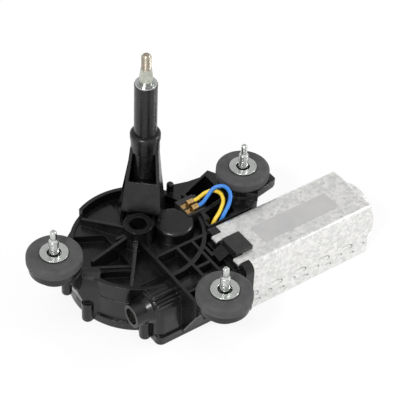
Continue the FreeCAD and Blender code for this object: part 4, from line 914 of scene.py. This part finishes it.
@dataclass
class SpindleEnd:
    """Spindle with its knurled cone and threaded tip. Sizes are millimetres.

    Each ring of the knurl is a radius, a height from the cone's foot or top, and a depth.
    """

    radius: float = 4.0
    foot_round: float = 0.4
    teeth: int = 34
    cone_low: float = 139.0
    cone_high: float = 147.0
    foot_rings: tuple[Corner, ...] = ((4.15, -0.2, 0.02), (4.1, 1.2, 0.28))
    top_rings: tuple[Corner, ...] = ((3.35, -0.4, 0.26), (3.05, 0.0, 0.02))
    tip: float = 157.0
    thread: Thread = Thread(root=2.5)
    thread_sink: float = 0.2
    thread_end: float = 1.4
    point: tuple[Corner, ...] = ((0.0, -1.6, 0.0), (2.75, -1.6, 0.0), (2.75, -1.2, 0.2),
                                 (1.9, 0.0, 0.6), (0.0, 0.0, 0.0))
    shaft_steps: int = 48
    point_steps: int = 40
    smooth: float = 40

    def cone(self, bm: BMesh) -> None:
        """Adds the cone, with straight knurls that run out at its foot.

        Args:
            bm: The spindle's mesh.
        """
        levels = lifted(self.foot_rings, 0.0, self.cone_low)
        levels += lifted(self.top_rings, 0.0, self.cone_high)
        rings = [(z, [r - depth, r] * self.teeth) for r, z, depth in levels]
        add_part(bm, stacked(rings), SPINDLE_AXIS)

    def build(self) -> None:
        """Makes the spindle and its threaded tip."""
        low = Extent.of("spindle").low
        bm = bmesh.new()
        shaft = [(0.0, low, 0.0), (self.radius, low, self.foot_round),
                 (self.radius, self.cone_low, 0.0), (0.0, self.cone_low, 0.0)]
        turn(bm, rounded(shaft), SPINDLE_AXIS, self.shaft_steps)
        self.cone(bm)
        finished("knurled_spindle", bm, Skin.SPINDLE, "spindle", ("spindle",), self.smooth)
        tip = bmesh.new()
        self.thread.cut(tip, self.cone_high - self.thread_sink, self.tip - self.thread_end,
                        SPINDLE_AXIS)
        turn(tip, rounded(lifted(self.point, 0.0, self.tip)), SPINDLE_AXIS, self.point_steps)
        finished("spindle_thread_tip", tip, Skin.THREAD, "spindle", (), self.smooth)


@dataclass
class CoverScrews:
    """Thread-forming screws of the cover, with six-lobe recesses. Sizes are millimetres.

    Each ring of a screw is a radius, a height, and the share by which its lobes stand out.
    """

    reach: float = 45.6
    angles: tuple[float, ...] = (20.0, 66.0, 106.0, 150.0, 195.0)
    near_worm: tuple[float, float] = (48.5, 242.0)
    lobes: int = 6
    lobe_points: int = 8
    shank: tuple[Corner, ...] = ((0.7, 13.0, 0.0), (1.3, 12.2, 0.0), (1.3, 1.8, 0.0))
    head: tuple[Corner, ...] = ((2.2, 1.8, 0.0), (2.3, 1.7, 0.0), (2.3, 0.6, 0.0),
                                (1.95, 0.2, 0.0))
    recess: tuple[Corner, ...] = ((1.1, 0.2, 0.14), (1.0, 0.35, 0.16), (0.9, 1.3, 0.16))

    def screw(self, bm: BMesh, axis: Plan) -> None:
        """Adds one screw, head down.

        Args:
            bm: The piece's mesh.
            axis: Plan place of the screw.
        """
        waves = [math.cos(math.tau * i / self.lobe_points)
                 for i in range(self.lobe_points)] * self.lobes
        levels = self.shank + self.head + self.recess
        rings = [(z, [r * (1.0 + lobe * wave) for wave in waves]) for r, z, lobe in levels]
        add_part(bm, stacked(rings), axis)

    def build(self) -> None:
        """Makes the set as one piece."""
        x, y = Extent.of("wheel_axle").axis
        bm = bmesh.new()
        for reach, angle in [(self.reach, a) for a in self.angles] + [self.near_worm]:
            way = math.radians(angle)
            self.screw(bm, (x + reach * math.cos(way), y + reach * math.sin(way)))
        finished("six_lobe_cover_screws", bm, Skin.ZINC, "housing", ("cover_screws",))


@dataclass
class CanLabel:
    """Blank label on the can's top. Sizes are millimetres."""

    x: tuple[float, float] = (41.2, 98.2)
    y: tuple[float, float] = (-70.4, -55.5)
    thickness: float = 0.12
    glue: float = 0.01
    corner: float = 1.2

    def build(self) -> bpy.types.Object:
        """Thin foil with rounded corners.

        Returns:
            The label.
        """
        base = Extent.of("yoke").high + self.glue
        (x0, x1), (y0, y1) = self.x, self.y
        corners = ((x0, y0), (x1, y0), (x1, y1), (x0, y1))
        outline = rounded([(x, y, self.corner) for x, y in corners])
        bm = bmesh.new()
        face = bm.faces.new([bm.verts.new((x * MM, y * MM, base * MM)) for x, y in outline])
        raised = bmesh.ops.extrude_face_region(bm, geom=[face])
        upper = [v for v in raised["geom"] if isinstance(v, bmesh.types.BMVert)]
        bmesh.ops.translate(bm, verts=upper, vec=(0, 0, self.thickness * MM))
        return finished("blank_label", bm, Skin.LABEL, "housing")


def dress_nodes(nodes: dict[str, bpy.types.Object]) -> None:
    """Gives every node of the frame its finish.

    Args:
        nodes: The frame's nodes by name.
    """
    for name, node in nodes.items():
        skin = NODE_SKINS[name]
        node.data.materials.clear()
        node.data.materials.append(skin.value.material())
        log.info("%s wears %s", name, skin.value.name)


@dataclass(frozen=True)
class Lamp:
    """Square soft lamp. Lengths are metres, and the power is watts."""

    name: str
    place: tuple[float, float, float]
    size: float
    power: float

    def hang(self, aim: Vector) -> None:
        """Puts the lamp in the scene.

        Args:
            aim: The point that it faces.
        """
        data = bpy.data.lights.new(self.name, "AREA")
        data.size = self.size
        data.energy = self.power
        lamp = bpy.data.objects.new(self.name, data)
        bpy.context.scene.collection.objects.link(lamp)
        way = (aim - Vector(self.place)).to_track_quat("-Z", "Y").to_matrix().to_4x4()
        lamp.matrix_world = Matrix.Translation(self.place) @ way


@dataclass
class Studio:
    """Camera at the photograph's angle, a white floor and soft lamps. Lengths are metres."""

    eye: tuple[float, float, float] = (-0.4036, -0.5999, 0.7251)
    aim: tuple[float, float, float] = (0.0204, -0.0302, 0.056)
    roll: float = 2.6
    lens: float = 144.0
    sensor: float = 36.0
    sight: float = 20.0
    floor_size: float = 6.0
    floor_drop: float = 0.0004
    floor_glow: float = 0.82
    ambient: float = 0.6
    overhead: float = 0.6
    sky_span: tuple[float, float] = (0.25, 0.6)
    lamps: tuple[Lamp, ...] = (
        Lamp("key", (-0.9, -0.5, 1.1), 0.3, 11.0),
        Lamp("fill", (1.2, -0.6, 0.8), 0.4, 8.0),
        Lamp("top", (-0.1, -0.1, 1.7), 1.8, 5.0),
    )

    def camera(self) -> None:
        """Makes the camera that the photograph was fitted with."""
        data = bpy.data.cameras.new("camera")
        data.lens = self.lens
        data.sensor_width = self.sensor
        data.clip_end = self.sight
        camera = bpy.data.objects.new("camera", data)
        bpy.context.scene.collection.objects.link(camera)
        way = (Vector(self.aim) - Vector(self.eye)).to_track_quat("-Z", "Y")
        camera.matrix_world = (Matrix.Translation(Vector(self.eye)) @ way.to_matrix().to_4x4()
                               @ Matrix.Rotation(math.radians(self.roll), 4, "Z"))
        bpy.context.scene.camera = camera

    def paper(self) -> bpy.types.Material:
        """Matt white paper that glows only for the camera, mirrors and glass.

        The eye sees an even white background, and the object's shadow stays on it.

        Returns:
            The floor's material.
        """
        made = bpy.data.materials.new("white_paper")
        made.use_nodes = True
        tree = made.node_tree
        shader = tree.nodes["Principled BSDF"]
        shader.inputs["Base Color"].default_value = linear("#F6F6F6")
        shader.inputs["Roughness"].default_value = 0.9
        glow = add_node(tree, "ShaderNodeEmission", {"Color": linear("#FFFFFF"), "Strength": 1.0})
        path = add_node(tree, "ShaderNodeLightPath")
        seen = path.outputs["Is Camera Ray"]
        for ray in ("Is Glossy Ray", "Is Transmission Ray"):
            seen = add_node(tree, "ShaderNodeMath", {"operation": "MAXIMUM"},
                            {0: seen, 1: path.outputs[ray]}).outputs[0]
        share = add_node(tree, "ShaderNodeMath", {
            "operation": "MULTIPLY", 1: self.floor_glow}, {0: seen})
        mix = add_node(tree, "ShaderNodeMixShader", {}, {
            0: share.outputs[0], 1: shader.outputs[0], 2: glow.outputs[0]})
        tree.links.new(mix.outputs[0], tree.nodes["Material Output"].inputs["Surface"])
        return made

    def floor(self) -> None:
        """White floor that shows the background and keeps a soft shadow."""
        bm = bmesh.new()
        bmesh.ops.create_grid(bm, x_segments=1, y_segments=1, size=self.floor_size)
        mesh = bpy.data.meshes.new("floor")
        bm.to_mesh(mesh)
        bm.free()
        mesh.materials.append(self.paper())
        floor = bpy.data.objects.new("floor", mesh)
        bpy.context.scene.collection.objects.link(floor)
        floor.location.z = -self.floor_drop

    def world(self) -> None:
        """White surroundings, dimmer overhead where the metal mirrors them."""
        world = bpy.data.worlds.new("studio")
        bpy.context.scene.world = world
        world.use_nodes = True
        tree = world.node_tree
        back = tree.nodes["Background"]
        back.inputs["Color"].default_value = linear("#FFFFFF")
        path = add_node(tree, "ShaderNodeLightPath")
        way = add_node(tree, "ShaderNodeTexCoord").outputs["Generated"]
        height = add_node(tree, "ShaderNodeSeparateXYZ", links={"Vector": way})
        high = add_node(tree, "ShaderNodeMapRange", {
            "From Min": self.sky_span[0], "From Max": self.sky_span[1], "To Min": 1.0,
            "To Max": self.overhead}, {"Value": height.outputs["Z"]})
        mirrored = add_node(tree, "ShaderNodeMath", {"operation": "MAXIMUM"}, {
            0: path.outputs["Is Glossy Ray"], 1: path.outputs["Is Transmission Ray"]})
        soft = add_node(tree, "ShaderNodeMix", {"data_type": "FLOAT", 2: self.ambient}, {
            "Factor": mirrored.outputs[0], 3: high.outputs["Result"]})
        span = add_node(tree, "ShaderNodeMix", {"data_type": "FLOAT", 3: 1.0}, {
            "Factor": path.outputs["Is Camera Ray"], 2: soft.outputs[0]})
        tree.links.new(span.outputs[0], back.inputs["Strength"])

    def build(self) -> None:
        """Sets up the camera, the floor and the light."""
        self.camera()
        self.floor()
        self.world()
        for lamp in self.lamps:
            lamp.hang(Vector(self.aim))
        bpy.context.scene.view_settings.view_transform = "Standard"


def main() -> None:
    """Builds the looks round the frame."""
    logging.basicConfig(level=logging.INFO, format="%(name)s %(message)s")
    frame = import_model()
    Studio().build()
    nodes = frame["nodes"]
    dress_nodes(nodes)
    Moulding(nodes).build()
    for name, piece in SMOOTHED.items():
        smoothed(nodes[name], piece)
    for side in Side:
        Mount(side).build()
    SpindleEnd().build()
    CoverScrews().build()
    CanLabel().build()


if __name__ == "__main__":
    main()
